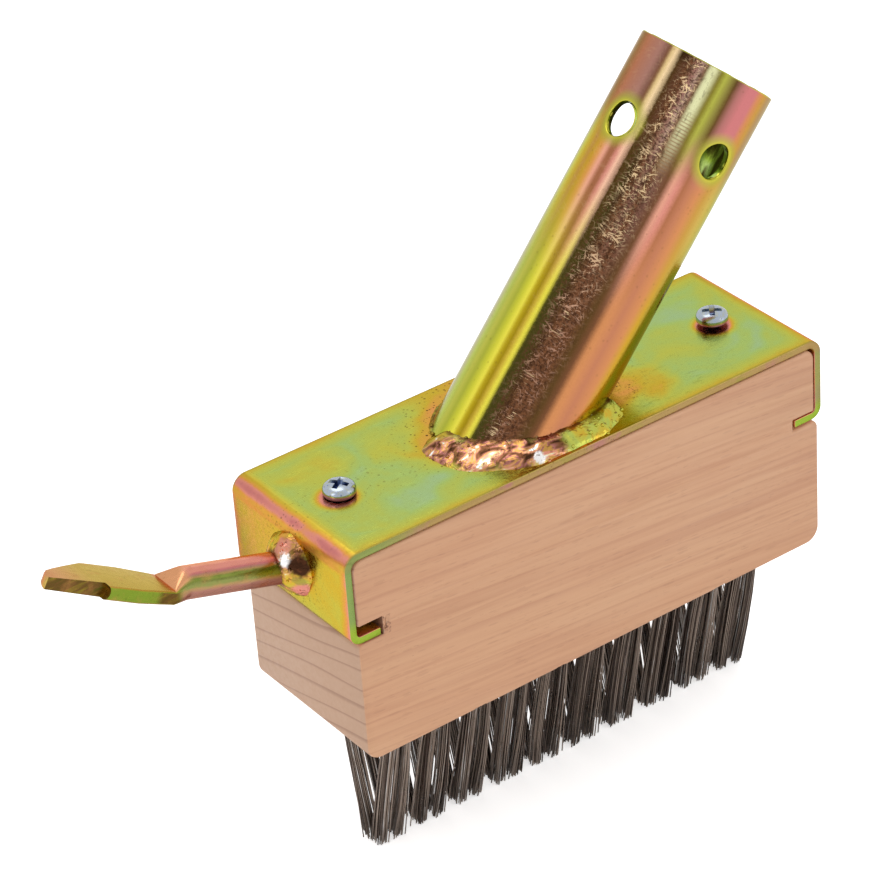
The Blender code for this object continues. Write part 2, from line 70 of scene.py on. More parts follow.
FULL_TURN = 2 * pi


class Tint(Enum):
    """Colours of the head's materials, as 8-bit display values."""

    BEECH_FACE = (205, 154, 118)
    BEECH_DEEP = (184, 131, 100)
    BEECH_PALE = (209, 161, 124)
    BEECH_FLECK = (136, 86, 64)
    BEECH_END = (193, 157, 131)
    BEECH_RING = (158, 120, 98)
    # Painted shade inside the kerf, and the dark brown of torn fibres.
    BEECH_SHADE_AND_TORN = (92, 40, 24)
    ROSE = (200, 120, 120)
    PINK = (226, 148, 132)
    BLUSH = (248, 176, 150)
    CORAL = (205, 137, 88)
    CAMEL = (158, 118, 80)
    SALMON = (188, 122, 90)
    ORANGE = (226, 160, 82)
    GOLD = (209, 178, 62)
    HONEY = (204, 160, 52)
    LEMON = (245, 234, 82)
    MUSTARD = (212, 210, 64)
    CITRON = (196, 196, 84)
    CELERY = (184, 196, 96)
    LEAF = (174, 198, 112)
    TEAL = (168, 196, 140)
    LIME = (150, 176, 62)
    CREAM = (232, 200, 140)
    STONE = (196, 193, 168)
    SAGE = (184, 182, 134)
    KHAKI = (176, 180, 64)
    OLIVE = (170, 152, 52)
    REED = (156, 146, 72)
    EDGE_GREEN = (134, 156, 88)
    EDGE_TAN = (172, 142, 90)
    STRAW = (202, 176, 90)
    TAN = (178, 146, 100)
    BROWN = (128, 84, 56)
    PLUM = (98, 58, 38)
    MAUVE = (176, 126, 112)
    RUSSET = (140, 98, 84)
    HAZE = (202, 164, 148)
    COPPER = (170, 108, 76)
    BRICK = (174, 112, 106)
    PEACH = (218, 156, 112)
    PEARL = (254, 200, 170)
    IVORY = (254, 222, 172)
    ICE = (253, 253, 196)
    OCHRE = (196, 150, 72)
    FAWN = (148, 116, 60)
    DRAB = (140, 126, 44)
    BRASS = (193, 169, 34)
    BRONZE = (164, 138, 24)
    MOSS = (110, 120, 54)
    LICHEN = (140, 146, 82)
    FERN = (126, 148, 50)
    SABLE = (68, 42, 28)
    TAR = (58, 40, 15)
    PITCH = (50, 46, 16)
    UMBER = (104, 76, 40)
    SOOT = (66, 52, 20)
    PINE = (78, 84, 26)
    ZINC = (176, 187, 204)
    ZINC_BLUE = (66, 90, 140)
    DEEP_BROWN = (104, 62, 36)
    WIRE_DARK = (80, 67, 60)
    WIRE_GREY = (160, 144, 132)
    WIRE_BRIGHT = (214, 211, 208)
    FLOOR = (250, 250, 250)
    WHITE = (255, 255, 255)

    @property
    def linear(self) -> tuple[float, float, float, float]:
        """The colour in the linear values that shaders take."""
        parts = [channel / 255 for channel in self.value]
        return (*[part / 12.92 if part <= 0.04045 else ((part + 0.055) / 1.055) ** 2.4
                  for part in parts], 1.0)


Material = bpy.types.Material
Tree = bpy.types.NodeTree
Node = bpy.types.Node
Object = bpy.types.Object
Shape = bmesh.types.BMesh
Socket = bpy.types.NodeSocket
Value = Socket | Tint | float | int | tuple | None
Stops = Sequence[tuple[float, Tint]]
Ring = list[Vector]
Span = tuple[float, float]
Triple = tuple[float, float, float]
Window = tuple[float, float, float, float]


class Row(Enum):
    """The two rows of tufts, by the side of the block that they start on."""

    FRONT = -1
    BACK = 1


class Graph:
    """Short calls that add and join the nodes of one tree."""

    def __init__(self, tree: Tree) -> None:
        """Work on a tree."""
        self.tree = tree

    def feed(self, socket: Socket, value: Value) -> None:
        """Link a socket to another one, or set its constant."""
        if isinstance(value, Socket):
            self.tree.links.new(value, socket)
        elif value is not None:
            socket.default_value = value.linear if isinstance(value, Tint) else value

    def node(self, kind: str, *values: Value, named: dict | None = None,
             **settings: object) -> Node:
        """Add a node.

        Args:
            kind: The node's type.
            values: Inputs in the order of its sockets; None keeps a default.
            named: Inputs by socket name.
            settings: Properties of the node itself.

        Returns:
            The new node.
        """
        node = self.tree.nodes.new(kind)
        for name, setting in settings.items():
            setattr(node, name, setting)
        for socket, value in zip(node.inputs, values):
            self.feed(socket, value)
        for name, value in (named or {}).items():
            self.feed(node.inputs[name], value)
        return node

    def calc(self, operation: str, *values: Value) -> Socket:
        """One step of arithmetic."""
        return self.node("ShaderNodeMath", *values, operation=operation).outputs[0]

    def times(self, first: Value, *others: Value) -> Socket:
        """The product of some numbers."""
        for other in others:
            first = self.calc("MULTIPLY", first, other)
        return first

    def plus(self, first: Value, second: Value) -> Socket:
        """The sum of two numbers."""
        return self.calc("ADD", first, second)

    def minus(self, first: Value, second: Value) -> Socket:
        """The first number less the second."""
        return self.calc("SUBTRACT", first, second)

    def line(self, value: Value, slope: Value, start: Value) -> Socket:
        """A number times a slope, plus a start."""
        return self.calc("MULTIPLY_ADD", value, slope, start)

    def vector(self, operation: str, *values: Value) -> Socket:
        """One step of vector arithmetic, or the number that it gives."""
        node = self.node("ShaderNodeVectorMath", *values, operation=operation)
        return node.outputs["Value" if operation in ("DOT_PRODUCT", "LENGTH", "DISTANCE")
                            else "Vector"]

    def scaled(self, vector: Value, factor: Value) -> Socket:
        """A vector times a number."""
        node = self.node("ShaderNodeVectorMath", vector, operation="SCALE")
        self.feed(node.inputs["Scale"], factor)
        return node.outputs["Vector"]

    def stretched(self, vector: Value, *factors: float) -> Socket:
        """A vector with each part times its own factor."""
        return self.vector("MULTIPLY", vector, factors)

    def parts(self, vector: Value) -> Sequence[Socket]:
        """The three parts of a vector."""
        return tuple(self.node("ShaderNodeSeparateXYZ", vector).outputs)

    def joined(self, *values: Value) -> Socket:
        """A vector from its parts, nought where one is left out."""
        return self.node("ShaderNodeCombineXYZ", *values).outputs[0]

    def length(self, *values: Value) -> Socket:
        """The length of the vector that some parts make."""
        return self.vector("LENGTH", self.joined(*values))

    def turned(self, vector: Value, place: Sequence[float],
               turn: Sequence[float] = (0.0, 0.0, 0.0)) -> Socket:
        """A point seen from a frame at a place, turned by XYZ angles."""
        return self.node("ShaderNodeMapping", vector, tuple(place), tuple(turn),
                         vector_type="TEXTURE").outputs[0]

    def fade(self, value: Value, low: Value, high: Value, start: Value = 0.0,
             end: Value = 1.0) -> Socket:
        """A smooth step from start to end as the value goes from low to high."""
        return self.node("ShaderNodeMapRange", value, low, high, start, end,
                         interpolation_type="SMOOTHSTEP").outputs[0]

    def window(self, value: Value, low: float, full: float, last: float, high: float) -> Socket:
        """A mask of 1 between full and last that fades to 0 at low and at high."""
        return self.times(self.fade(value, low, full), self.fade(value, high, last))

    def noise(self, vector: Value, scale: Value, detail: float = 2.0, rough: float = 0.5,
              warp: float = 0.0) -> Socket:
        """Fractal noise between 0 and 1."""
        return self.node("ShaderNodeTexNoise",
                         named={"Vector": vector, "Scale": scale, "Detail": detail,
                                "Roughness": rough, "Distortion": warp}).outputs[0]

    def blend(self, factor: Value, first: Value, second: Value) -> Socket:
        """A mix of two colours."""
        node = self.node("ShaderNodeMix", factor, data_type="RGBA")
        self.feed(node.inputs[6], first)
        self.feed(node.inputs[7], second)
        return node.outputs[2]

    def laid(self, colour: Value, mask: Value, over: Value, share: float = 1.0) -> Socket:
        """A colour with a share of another one laid over it where a mask says."""
        if share < 1.0:
            mask = self.times(mask, share)
        return self.blend(mask, colour, over)

    def between(self, factor: Value, first: Value, second: Value) -> Socket:
        """A mix of two numbers."""
        node = self.node("ShaderNodeMix", factor, data_type="FLOAT")
        self.feed(node.inputs[2], first)
        self.feed(node.inputs[3], second)
        return node.outputs[0]

    def ramp(self, factor: Value, stops: Stops) -> Socket:
        """A colour read from named stops."""
        node = self.node("ShaderNodeValToRGB", factor)
        ramp = node.color_ramp
        while len(ramp.elements) < len(stops):
            ramp.elements.new(1.0)
        for element, (place, tint) in zip(ramp.elements, stops):
            element.position = place
            element.color = tint.linear
        return node.outputs[0]

    def group(self, tree: Tree, **values: Value) -> Node:
        """A shared group, fed by name."""
        return self.node("ShaderNodeGroup", node_tree=tree, named=values)


class Finish:
    """A Principled material under construction."""

    def __init__(self, name: str, roughness: float, metallic: float) -> None:
        """Start a material with its constants on the shader's own sockets."""
        self.material = bpy.data.materials.new(name)
        self.material.use_nodes = True
        tree = self.material.node_tree
        self.graph = Graph(tree)
        self.shader = tree.nodes["Principled BSDF"]
        self.set("Roughness", roughness)
        self.set("Metallic", metallic)
        coordinates = self.graph.node("ShaderNodeTexCoord")
        self.place = coordinates.outputs["Object"]
        self.facing = coordinates.outputs["Normal"]

    def set(self, name: str, value: Value) -> None:
        """Feed one socket of the shader."""
        self.graph.feed(self.shader.inputs[name], value)

    def metal(self, colour: Value, paler: float = 0.45) -> None:
        """Set a metal's colour and the paler tint of its grazing reflections."""
        self.set("Base Color", colour)
        self.set("Specular Tint", self.graph.blend(paler, colour, Tint.WHITE))

    def bump(self, height: Socket, depth: float, strength: float = 1.0) -> None:
        """Raise the surface by a height pattern of a given depth."""
        node = self.graph.node("ShaderNodeBump", named={"Strength": strength, "Distance": depth,
                                                        "Height": height})
        self.set("Normal", node.outputs[0])


class Shared:
    """Node groups of the finishes, each built once."""

    def __init__(self) -> None:
        """Build every group."""
        self.speck_tree = self._speck_tree()
        self.scratch_tree = self._scratch_tree()
        self.chromate_tree = self._chromate_tree()

    def specks(self, g: Graph, vector: Value, scale: float, size: float) -> Socket:
        """Mask of round specks of mixed sizes."""
        return g.group(self.speck_tree, Vector=vector, Scale=scale, Size=size).outputs[0]

    @staticmethod
    def _open(name: str, inputs: Sequence[str], outputs: Sequence[str]
              ) -> tuple[Graph, bpy.types.NodeInputs, Node]:
        """Start a group with named sockets: a vector, a colour or else numbers."""
        tree = bpy.data.node_groups.new(name, "ShaderNodeTree")
        for way, labels in (("INPUT", inputs), ("OUTPUT", outputs)):
            for label in labels:
                kind = label if label in ("Vector", "Color") else "Float"
                tree.interface.new_socket(label, in_out=way, socket_type="NodeSocket" + kind)
        g = Graph(tree)
        return g, g.node("NodeGroupInput").outputs, g.node("NodeGroupOutput")

    def _speck_tree(self) -> Tree:
        """Round specks of mixed sizes, as a mask."""
        g, given, out = self._open("specks", ("Vector", "Scale", "Size"), ("Mask",))
        cells = g.node("ShaderNodeTexVoronoi",
                       named={"Vector": given["Vector"], "Scale": given["Scale"]})
        luck = g.parts(cells.outputs["Color"])[0]
        size = g.times(g.calc("POWER", luck, 4.0), given["Size"])
        g.feed(out.inputs["Mask"], g.fade(cells.outputs["Distance"], size, g.times(size, 0.6)))
        return g.tree

    def _scratch_tree(self) -> Tree:
        """Fine broken scratches along the vector's X, as a mask."""
        g, given, out = self._open("scratches", ("Vector", "Scale", "Stretch", "Amount"),
                                   ("Mask",))
        along = g.calc("DIVIDE", 1.0, given["Stretch"])
        point = g.vector("MULTIPLY", given["Vector"], g.joined(along, 1.0, 1.0))
        field = g.noise(point, given["Scale"], 3.0, 0.6, 0.4)
        ridge = g.minus(1.0, g.calc("ABSOLUTE", g.line(field, 2.0, -1.0)))
        patch = g.fade(g.noise(given["Vector"], given["Scale"], 1.0), 0.42, 0.62)
        ridge = g.fade(ridge, g.minus(1.0, given["Amount"]), 1.0)
        g.feed(out.inputs["Mask"], g.times(patch, ridge))
        return g.tree

    def _chromate_tree(self) -> Tree:
        """Interference colours of a chromate film, from thin (0) to thick (1)."""
        g, given, out = self._open("chromate_film", ("Film", "Vector", "Mottle"),
                                   ("Color", "Roughness"))
        broad = g.noise(given["Vector"], 90.0, 2.0, 0.5, 0.6)
        fine = g.noise(given["Vector"], 900.0, 3.0, 0.7)
        sway = g.line(fine, 0.35, g.minus(broad, 0.67))
        film = g.line(sway, given["Mottle"], given["Film"])
        stops = ((0.00, Tint.ROSE), (0.10, Tint.PINK), (0.20, Tint.ORANGE), (0.34, Tint.GOLD),
                 (0.52, Tint.CITRON), (0.68, Tint.CELERY), (0.82, Tint.LEAF),
                 (1.00, Tint.TEAL))
        g.feed(out.inputs["Color"], g.ramp(film, stops))
        g.feed(out.inputs["Roughness"], g.fade(fine, 0.3, 0.8, 0.16, 0.34))
        return g.tree


def new_object(name: str, data: bpy.types.ID) -> Object:
    """An object for a mesh, lamp or camera, in the scene."""
    obj = bpy.data.objects.new(name, data)
    bpy.context.scene.collection.objects.link(obj)
    return obj


def from_bmesh(name: str, bm: Shape, crease: float | None = 35.0) -> Object:
    """Turn a bmesh into an object with outward faces.

    Args:
        name: The object's name.
        bm: The shape, which is freed.
        crease: Angle in degrees past which an edge stays sharp, or None for flat faces.

    Returns:
        The new object.
    """
    bmesh.ops.recalc_face_normals(bm, faces=bm.faces)
    mesh = bpy.data.meshes.new(name)
    bm.to_mesh(mesh)
    bm.free()
    if crease is not None:
        mesh.shade_smooth()
        mesh.set_sharp_from_angle(angle=radians(crease))
    return new_object(name, mesh)


def baked(obj: Object) -> Object:
    """Turn an object's modifiers into its plain mesh."""
    graph = bpy.context.evaluated_depsgraph_get()
    mesh = bpy.data.meshes.new_from_object(obj.evaluated_get(graph), depsgraph=graph,
                                           preserve_all_data_layers=True)
    obj.modifiers.clear()
    obj.data = mesh
    return obj


def cut_with(body: Object, bite: Shape, crease: float = 35.0) -> None:
    """Cut a shape out of an object."""
    cutter = from_bmesh("cutter", bite)
    modifier = body.modifiers.new("cut", "BOOLEAN")
    modifier.operation = "DIFFERENCE"
    modifier.solver = "EXACT"
    modifier.object = cutter
    baked(body)
    bpy.data.objects.remove(cutter, do_unlink=True)
    body.data.shade_smooth()
    body.data.set_sharp_from_angle(angle=radians(crease))


def loft(bm: Shape, rings: Sequence[Ring], closed: bool = False, capped: bool = True) -> None:
    """Skin equal rings of points, closed up, capped at the ends or left open."""
    rows = [[bm.verts.new(point) for point in ring] for ring in rings]
    pairs = list(zip(rows, rows[1:]))
    if closed:
        pairs.append((rows[-1], rows[0]))
    for low, high in pairs:
        for index, corner in enumerate(low):
            after = (index + 1) % len(low)
            bm.faces.new((corner, low[after], high[after], high[index]))
    if capped and not closed:
        bm.faces.new(rows[0][::-1])
        bm.faces.new(rows[-1])


def arc(centre: Span, radius: float, start: float, stop: float, steps: int = 12) -> list[Span]:
    """Points of an arc in the XZ plane, ends included."""
    return [(centre[0] + radius * cos(start + (stop - start) * step / steps),
             centre[1] + radius * sin(start + (stop - start) * step / steps))
            for step in range(steps + 1)]


def circle(centre: Vector, first: Vector, second: Vector, radius: float, count: int) -> Ring:
    """Points of a circle in the plane of two unit axes."""
    return [centre + radius * (cos(FULL_TURN * step / count) * first
                               + sin(FULL_TURN * step / count) * second)
            for step in range(count)]


def outward(rise: float) -> Vector:
    """A unit vector towards -X that climbs by an angle."""
    return Vector((-cos(rise), 0, sin(rise)))


def add_rod(bm: Shape, start: Vector, end: Vector, radius: float, count: int = 24) -> None:
    """A capped cylinder between two points."""
    axis = (end - start).normalized()
    side = axis.orthogonal().normalized()
    loft(bm, [circle(point, side, axis.cross(side), radius, count) for point in (start, end)])


def round_edges(obj: Object, width: float, segments: int, angle: float = 50.0) -> None:
    """Round an object's sharp edges."""
    bevel = obj.modifiers.new("edges", "BEVEL")
    bevel.width = width
    bevel.segments = segments
    bevel.limit_method = "ANGLE"
    bevel.angle_limit = radians(angle)
    bevel.harden_normals = True
    baked(obj)


def dress(obj: Object, material: Material, nodes: Iterable[str]) -> Object:
    """Give a finished piece its material and body, and hide the CAD nodes that it stands for."""
    obj.data.materials.clear()
    obj.data.materials.append(material)
    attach(obj, BODY)
    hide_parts(*nodes)
    LOG.info("%s: %d faces", obj.name, len(obj.data.polygons))
    return obj


class GeometryTree:
    """A geometry node tree with named inputs, run as a modifier and then baked."""

    KINDS = {int: "NodeSocketInt", float: "NodeSocketFloat", Material: "NodeSocketMaterial"}

    def __init__(self, name: str, **values: int | float | Material) -> None:
        """Start a tree.

        Args:
            name: The tree's name.
            values: The value of each named input, which also gives the socket's kind.
        """
        self.tree = bpy.data.node_groups.new(name, "GeometryNodeTree")
        self.values = values
        kinds = {"geometry": "NodeSocketGeometry",
                 **{label: self.KINDS[type(value)] for label, value in values.items()}}
        for label, kind in kinds.items():
            self.tree.interface.new_socket(label, in_out="INPUT", socket_type=kind)
        self.tree.interface.new_socket("geometry", in_out="OUTPUT",
                                       socket_type="NodeSocketGeometry")
        self.graph = Graph(self.tree)
        self.given = self.graph.node("NodeGroupInput").outputs

    def luck(self, low: float, high: float, offset: int, each: Value = None) -> Socket:
        """A random number for each element, or for each value of a given socket."""
        g = self.graph
        node = g.node("FunctionNodeRandomValue", data_type="FLOAT", named={
            "ID": each, "Seed": g.plus(self.given["seed"], float(offset))})
        g.feed(node.inputs[2], low)
        g.feed(node.inputs[3], high)
        return node.outputs[1]

    def step(self, kind: str, *values: Value, **named: Value) -> Socket:
        """The first output of a geometry node."""
        return self.graph.node("GeometryNode" + kind, *values, named=named).outputs[0]

    def together(self, *pieces: Socket) -> Socket:
        """Some geometries joined to one."""
        node = self.graph.node("GeometryNodeJoinGeometry")
        for piece in pieces:
            self.graph.feed(node.inputs[0], piece)
        return node.outputs[0]

    def stored(self, geometry: Socket, name: str, kind: str, value: Socket) -> Socket:
        """A geometry with a value kept on each of its elements."""
        node = self.graph.node("GeometryNodeStoreNamedAttribute", geometry, data_type=kind,
                               named={"Name": name})
        self.graph.feed(next(s for s in node.inputs if s.name == "Value" and s.enabled), value)
        return node.outputs[0]

    def kept_vector(self, name: str) -> Socket:
        """A vector that was kept on each element."""
        node = self.graph.node("GeometryNodeInputNamedAttribute", data_type="FLOAT_VECTOR",
                               named={"Name": name})
        return next(s for s in node.outputs if s.name == "Attribute" and s.enabled)

    def finish(self, geometry: Socket) -> None:
        """End the tree in Realize Instances and Set Material."""
        real = self.step("RealizeInstances", geometry)
        self.graph.node("NodeGroupOutput", self.step("SetMaterial", real,
                                                     Material=self.given["material"]))

    def run(self, obj: Object) -> Object:
        """Set every input by its identifier, evaluate and keep a plain mesh."""
        modifier = obj.modifiers.new(self.tree.name, "NODES")
        modifier.node_group = self.tree
        for item in self.tree.interface.items_tree:
            if item.in_out == "INPUT" and item.name in self.values:
                modifier[item.identifier] = self.values[item.name]
        return baked(obj)


@dataclass(frozen=True)
class HeadFrame:
    """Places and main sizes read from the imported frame."""

    middle_x: float
    plate_top: float
    half_length: float
    half_width: float
    block_low: Vector
    block_high: Vector
    screw_offset: float

    @classmethod
    def read(cls) -> "HeadFrame":
        """Measure the frame's nodes."""
        low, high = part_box("mounting_bracket")
        screw_low, screw_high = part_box("bracket_screw_right")
        middle = (low.x + high.x) / 2
        return cls(middle, high.z, (high.x - low.x) / 2, (high.y - low.y) / 2,
                   *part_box("brush_block"), (screw_low.x + screw_high.x) / 2 - middle)


@dataclass(frozen=True)
class TuftLayout:
    """Where the tufts leave the block and where their tips meet."""

    tufts: int = 10
    pitch: float = 12.2 * MM
    shift: float = 2.1 * MM
    root_spread: float = 11.0 * MM
    tip_spread: float = 1.5 * MM
    root_radius: float = 2.8 * MM
    hole_radius: float = 3.1 * MM
    hole_depth: float = 14.8 * MM

    def first_x(self, head: HeadFrame) -> float:
        """X of the first tuft of a row."""
        return head.middle_x + self.shift - self.pitch * (self.tufts - 1) / 2

    def axis_point(self, head: HeadFrame, column: int, side: int, height: float) -> Vector:
        """Point of a tuft's axis at a height over the wire tips."""
        share = height / head.block_low.z
        spread = self.tip_spread + (self.root_spread - self.tip_spread) * share
        return Vector((self.first_x(head) + self.pitch * column, side * spread, height))


@dataclass(frozen=True)
class BeechFinish:
    """Bare sanded beech: growth rings, fibre, short dark flecks and torn fibres, with painted shade
    in the kerf.
    """

    slot: str = "beech"
    grain_turn: Triple = (radians(-12.7), radians(5.2), 0.0)
    ring_pitch: float = 4.6 * MM
    kerf_gap: float = 0.3 * MM
    blur: float = 0.2 * MM
    skin: float = 0.4 * MM
    torn_window: Window = (-1.0 * MM, 0.2 * MM, 1.8 * MM, 2.2 * MM)

    def _kerf_shade_and_torn(self, finish: Finish, head: HeadFrame, kerf: Triple) -> Socket:
        """Mask of painted shade inside the kerf and of torn fibres at its inner end."""
        g = finish.graph
        x, y, z = g.parts(finish.place)
        drop, height, depth = kerf
        inner = head.block_low.x + depth + self.kerf_gap
        half, soft = height / 2, self.blur * 0.75
        level = g.calc("ABSOLUTE", g.minus(z, head.block_high.z - drop - half))
        within = g.fade(level, half + soft, half - soft)
        # Painted shade: the inside of the kerf, behind the near face.
        kerf_shade = g.times(g.fade(x, inner + self.blur, inner - self.blur),
                       g.fade(y, -head.half_width, self.skin - head.half_width))
        ragged = g.fade(g.noise(finish.place, 1500.0, 3.0, 0.7), 0.48, 0.64, 0.05, 0.65)
        torn = g.times(g.window(x, *(inner + away for away in self.torn_window)), ragged)
        return g.times(within, g.calc("MAXIMUM", kerf_shade, torn))

    def material(self, shared: Shared, head: HeadFrame, kerf: Triple) -> Material:
        """Build the wood."""
        finish = Finish("bare_beech", 0.55, 0.0)
        g = finish.graph
        wood = g.turned(finish.place, (0.0, 0.0, 0.0), self.grain_turn)
        warp = g.noise(g.stretched(wood, 9.0, 14.0, 120.0), 1.0, 1.0)
        ring = g.calc("FRACT", g.line(warp, 1.6, g.calc("DIVIDE", g.parts(wood)[2],
                                                        self.ring_pitch)))
        late = g.window(ring, 0.78, 0.96, 0.97, 1.0)
        fibre = g.noise(g.stretched(wood, 34.0, 900.0, 900.0), 1.0, 4.0, 0.6)
        streak = g.noise(g.stretched(wood, 10.0, 240.0, 320.0), 1.0, 2.0)
        cloud = g.noise(g.stretched(wood, 14.0, 30.0, 60.0), 1.0, 2.0)
        vein = g.noise(g.stretched(wood, 6.0, 120.0, 170.0), 1.0, 3.0, 0.6, 0.3)
        dashes = g.noise(g.stretched(wood, 420.0, 2600.0, 3600.0), 1.0, 1.0)
        dashes = g.fade(dashes, 0.70, 0.76)
        flecks = shared.specks(g, g.stretched(wood, 0.16, 1.0, 1.0), 1500.0, 0.62)
        flecks = g.calc("MAXIMUM", dashes, g.times(flecks, 0.6))
        face = g.blend(g.fade(cloud, 0.3, 0.7), Tint.BEECH_FACE, Tint.BEECH_PALE)
        for mask, share in ((g.fade(streak, 0.48, 0.78), 0.42), (g.fade(vein, 0.54, 0.72), 0.40),
                            (g.fade(fibre, 0.4, 0.8), 0.42), (late, 0.32)):
            face = g.laid(face, mask, Tint.BEECH_DEEP, share)
        face = g.laid(face, flecks, Tint.BEECH_FLECK, 0.22)
        end = g.laid(Tint.BEECH_END, late, Tint.BEECH_RING, 0.8)
        end = g.laid(end, fibre, Tint.BEECH_RING, 0.25)
        facing_end = g.fade(g.calc("ABSOLUTE", g.parts(finish.facing)[0]), 0.45, 0.85)
        wood = g.blend(facing_end, face, end)
        # Painted shade inside the kerf and the torn fibres' dark brown, laid over the wood.
        finish.set("Base Color", g.laid(wood, self._kerf_shade_and_torn(finish, head, kerf), Tint.BEECH_SHADE_AND_TORN))
        finish.set("Roughness", g.fade(fibre, 0.2, 0.8, 0.48, 0.68))
        finish.bump(g.minus(fibre, g.times(dashes, 0.8)), 0.12 * MM, 0.35)
        return finish.material


@dataclass
class BrushBlock:
    """The beech block with its kerfs, tuft holes and torn kerf end."""

    head: HeadFrame
    layout: TuftLayout
    top_radius: float = 3.0 * MM
    foot_radius: float = 4.0 * MM
    edge_round: float = 0.5 * MM
    scraper_kerf: Triple = (17.8 * MM, 5.1 * MM, 7.1 * MM)
    far_kerf: Triple = (18.2 * MM, 3.1 * MM, 6.9 * MM)
    scraper_rebate: float = 0.3 * MM
    far_rebate: float = 1.1 * MM
    mouth_radius: float = 1.8 * MM
    pilot_radius: float = 2.3 * MM
    pilot_depth: float = 22.5 * MM
    drill_overrun: float = 2.0 * MM
    torn_size: Triple = (0.7 * MM, 0.30 * MM, 1.7 * MM)
    nick_shares: tuple[float, ...] = (0.235, 0.41, 0.77)
    nick_size: float = 0.9 * MM

    @property
    def _half(self) -> float:
        """Half the block's length above its kerfs."""
        return self.head.block_high.x - self.far_rebate - self.head.middle_x

    def _end(self, kerf: Triple, rebate: float) -> list[Span]:
        """One end of the side outline, from its foot up to its top."""
        top, foot = self.head.block_high.z, self.head.block_low.z
        half, mouth = self._half, self.mouth_radius
        proud = half + rebate
        drop, height, depth = kerf
        points = arc((proud - self.foot_radius, foot + self.foot_radius), self.foot_radius,
                     -QUARTER, 0.0)
        points += arc((proud - mouth, top - drop - height - mouth), mouth, 0.0, QUARTER)
        points += [(half - depth, top - drop - height), (half - depth, top - drop),
                   (half, top - drop)]
        return points + arc((half - self.top_radius, top - self.top_radius), self.top_radius,
                            0.0, QUARTER)

    @staticmethod
    def _rough_lump(centre: Vector, size: Sequence[float], seed: float) -> Shape:
        """A jagged block that tears wood away."""
        bm = bmesh.new()
        bmesh.ops.create_cube(bm, size=2.0)
        bmesh.ops.subdivide_edges(bm, edges=bm.edges, cuts=7, use_grid_fill=True)
        for vert in bm.verts:
            jag = 1.0 + 0.5 * noise.noise(vert.co * 2.6 + Vector((seed, 0, 0)))
            vert.co = centre + Vector([part * jag * extent for part, extent in zip(vert.co, size)])
        return bm

    def _drill(self, block: Object) -> None:
        """Cut the slanted tuft holes and the screws' pilot holes."""
        head, layout = self.head, self.layout
        holes = bmesh.new()
        for column in range(layout.tufts):
            for row in Row:
                low, high = (layout.axis_point(head, column, row.value, head.block_low.z + level)
                             for level in (-self.drill_overrun, layout.hole_depth))
                loft(holes, [circle(point, Vector((1, 0, 0)), Vector((0, 1, 0)),
                                    layout.hole_radius, 24) for point in (low, high)])
        for end in (-1, 1):
            x = head.middle_x + end * head.screw_offset
            add_rod(holes, Vector((x, 0, head.plate_top - self.pilot_depth)),
                    Vector((x, 0, head.plate_top)), self.pilot_radius)
        cut_with(block, holes)

    def _tear(self, block: Object) -> None:
        """Tear wood from the kerf's inner end and nick the foot of the near face."""
        head = self.head
        drop, height, depth = self.scraper_kerf
        torn = Vector((head.middle_x - self._half + depth + self.torn_size[0] * 0.4,
                       -head.half_width, head.block_high.z - drop - height * 0.42))
        cut_with(block, self._rough_lump(torn, self.torn_size, 3.0))
        away = self.nick_size * 0.35
        size = [self.nick_size * part for part in (1.8, 0.9, 0.8)]
        for index, share in enumerate(self.nick_shares):
            x = head.block_low.x + (head.block_high.x - head.block_low.x) * share
            spot = Vector((x, -head.half_width - away, head.block_low.z - away))
            cut_with(block, self._rough_lump(spot, size, 7.0 + index))

    def build(self, material: Material, slot: str) -> Object:
        """Model and dress the block."""
        head = self.head
        far = self._end(self.far_kerf, self.far_rebate)
        near = self._end(self.scraper_kerf, self.scraper_rebate)
        outline = far + [(-x, z) for x, z in reversed(near)]
        bm = bmesh.new()
        loft(bm, [[Vector((head.middle_x + x, side * head.half_width, z)) for x, z in outline]
                  for side in (-1, 1)])
        block = from_bmesh("beech_block", bm)
        round_edges(block, self.edge_round, 2)
        self._drill(block)
        self._tear(block)
        return dress(block, material, ["brush_block"])


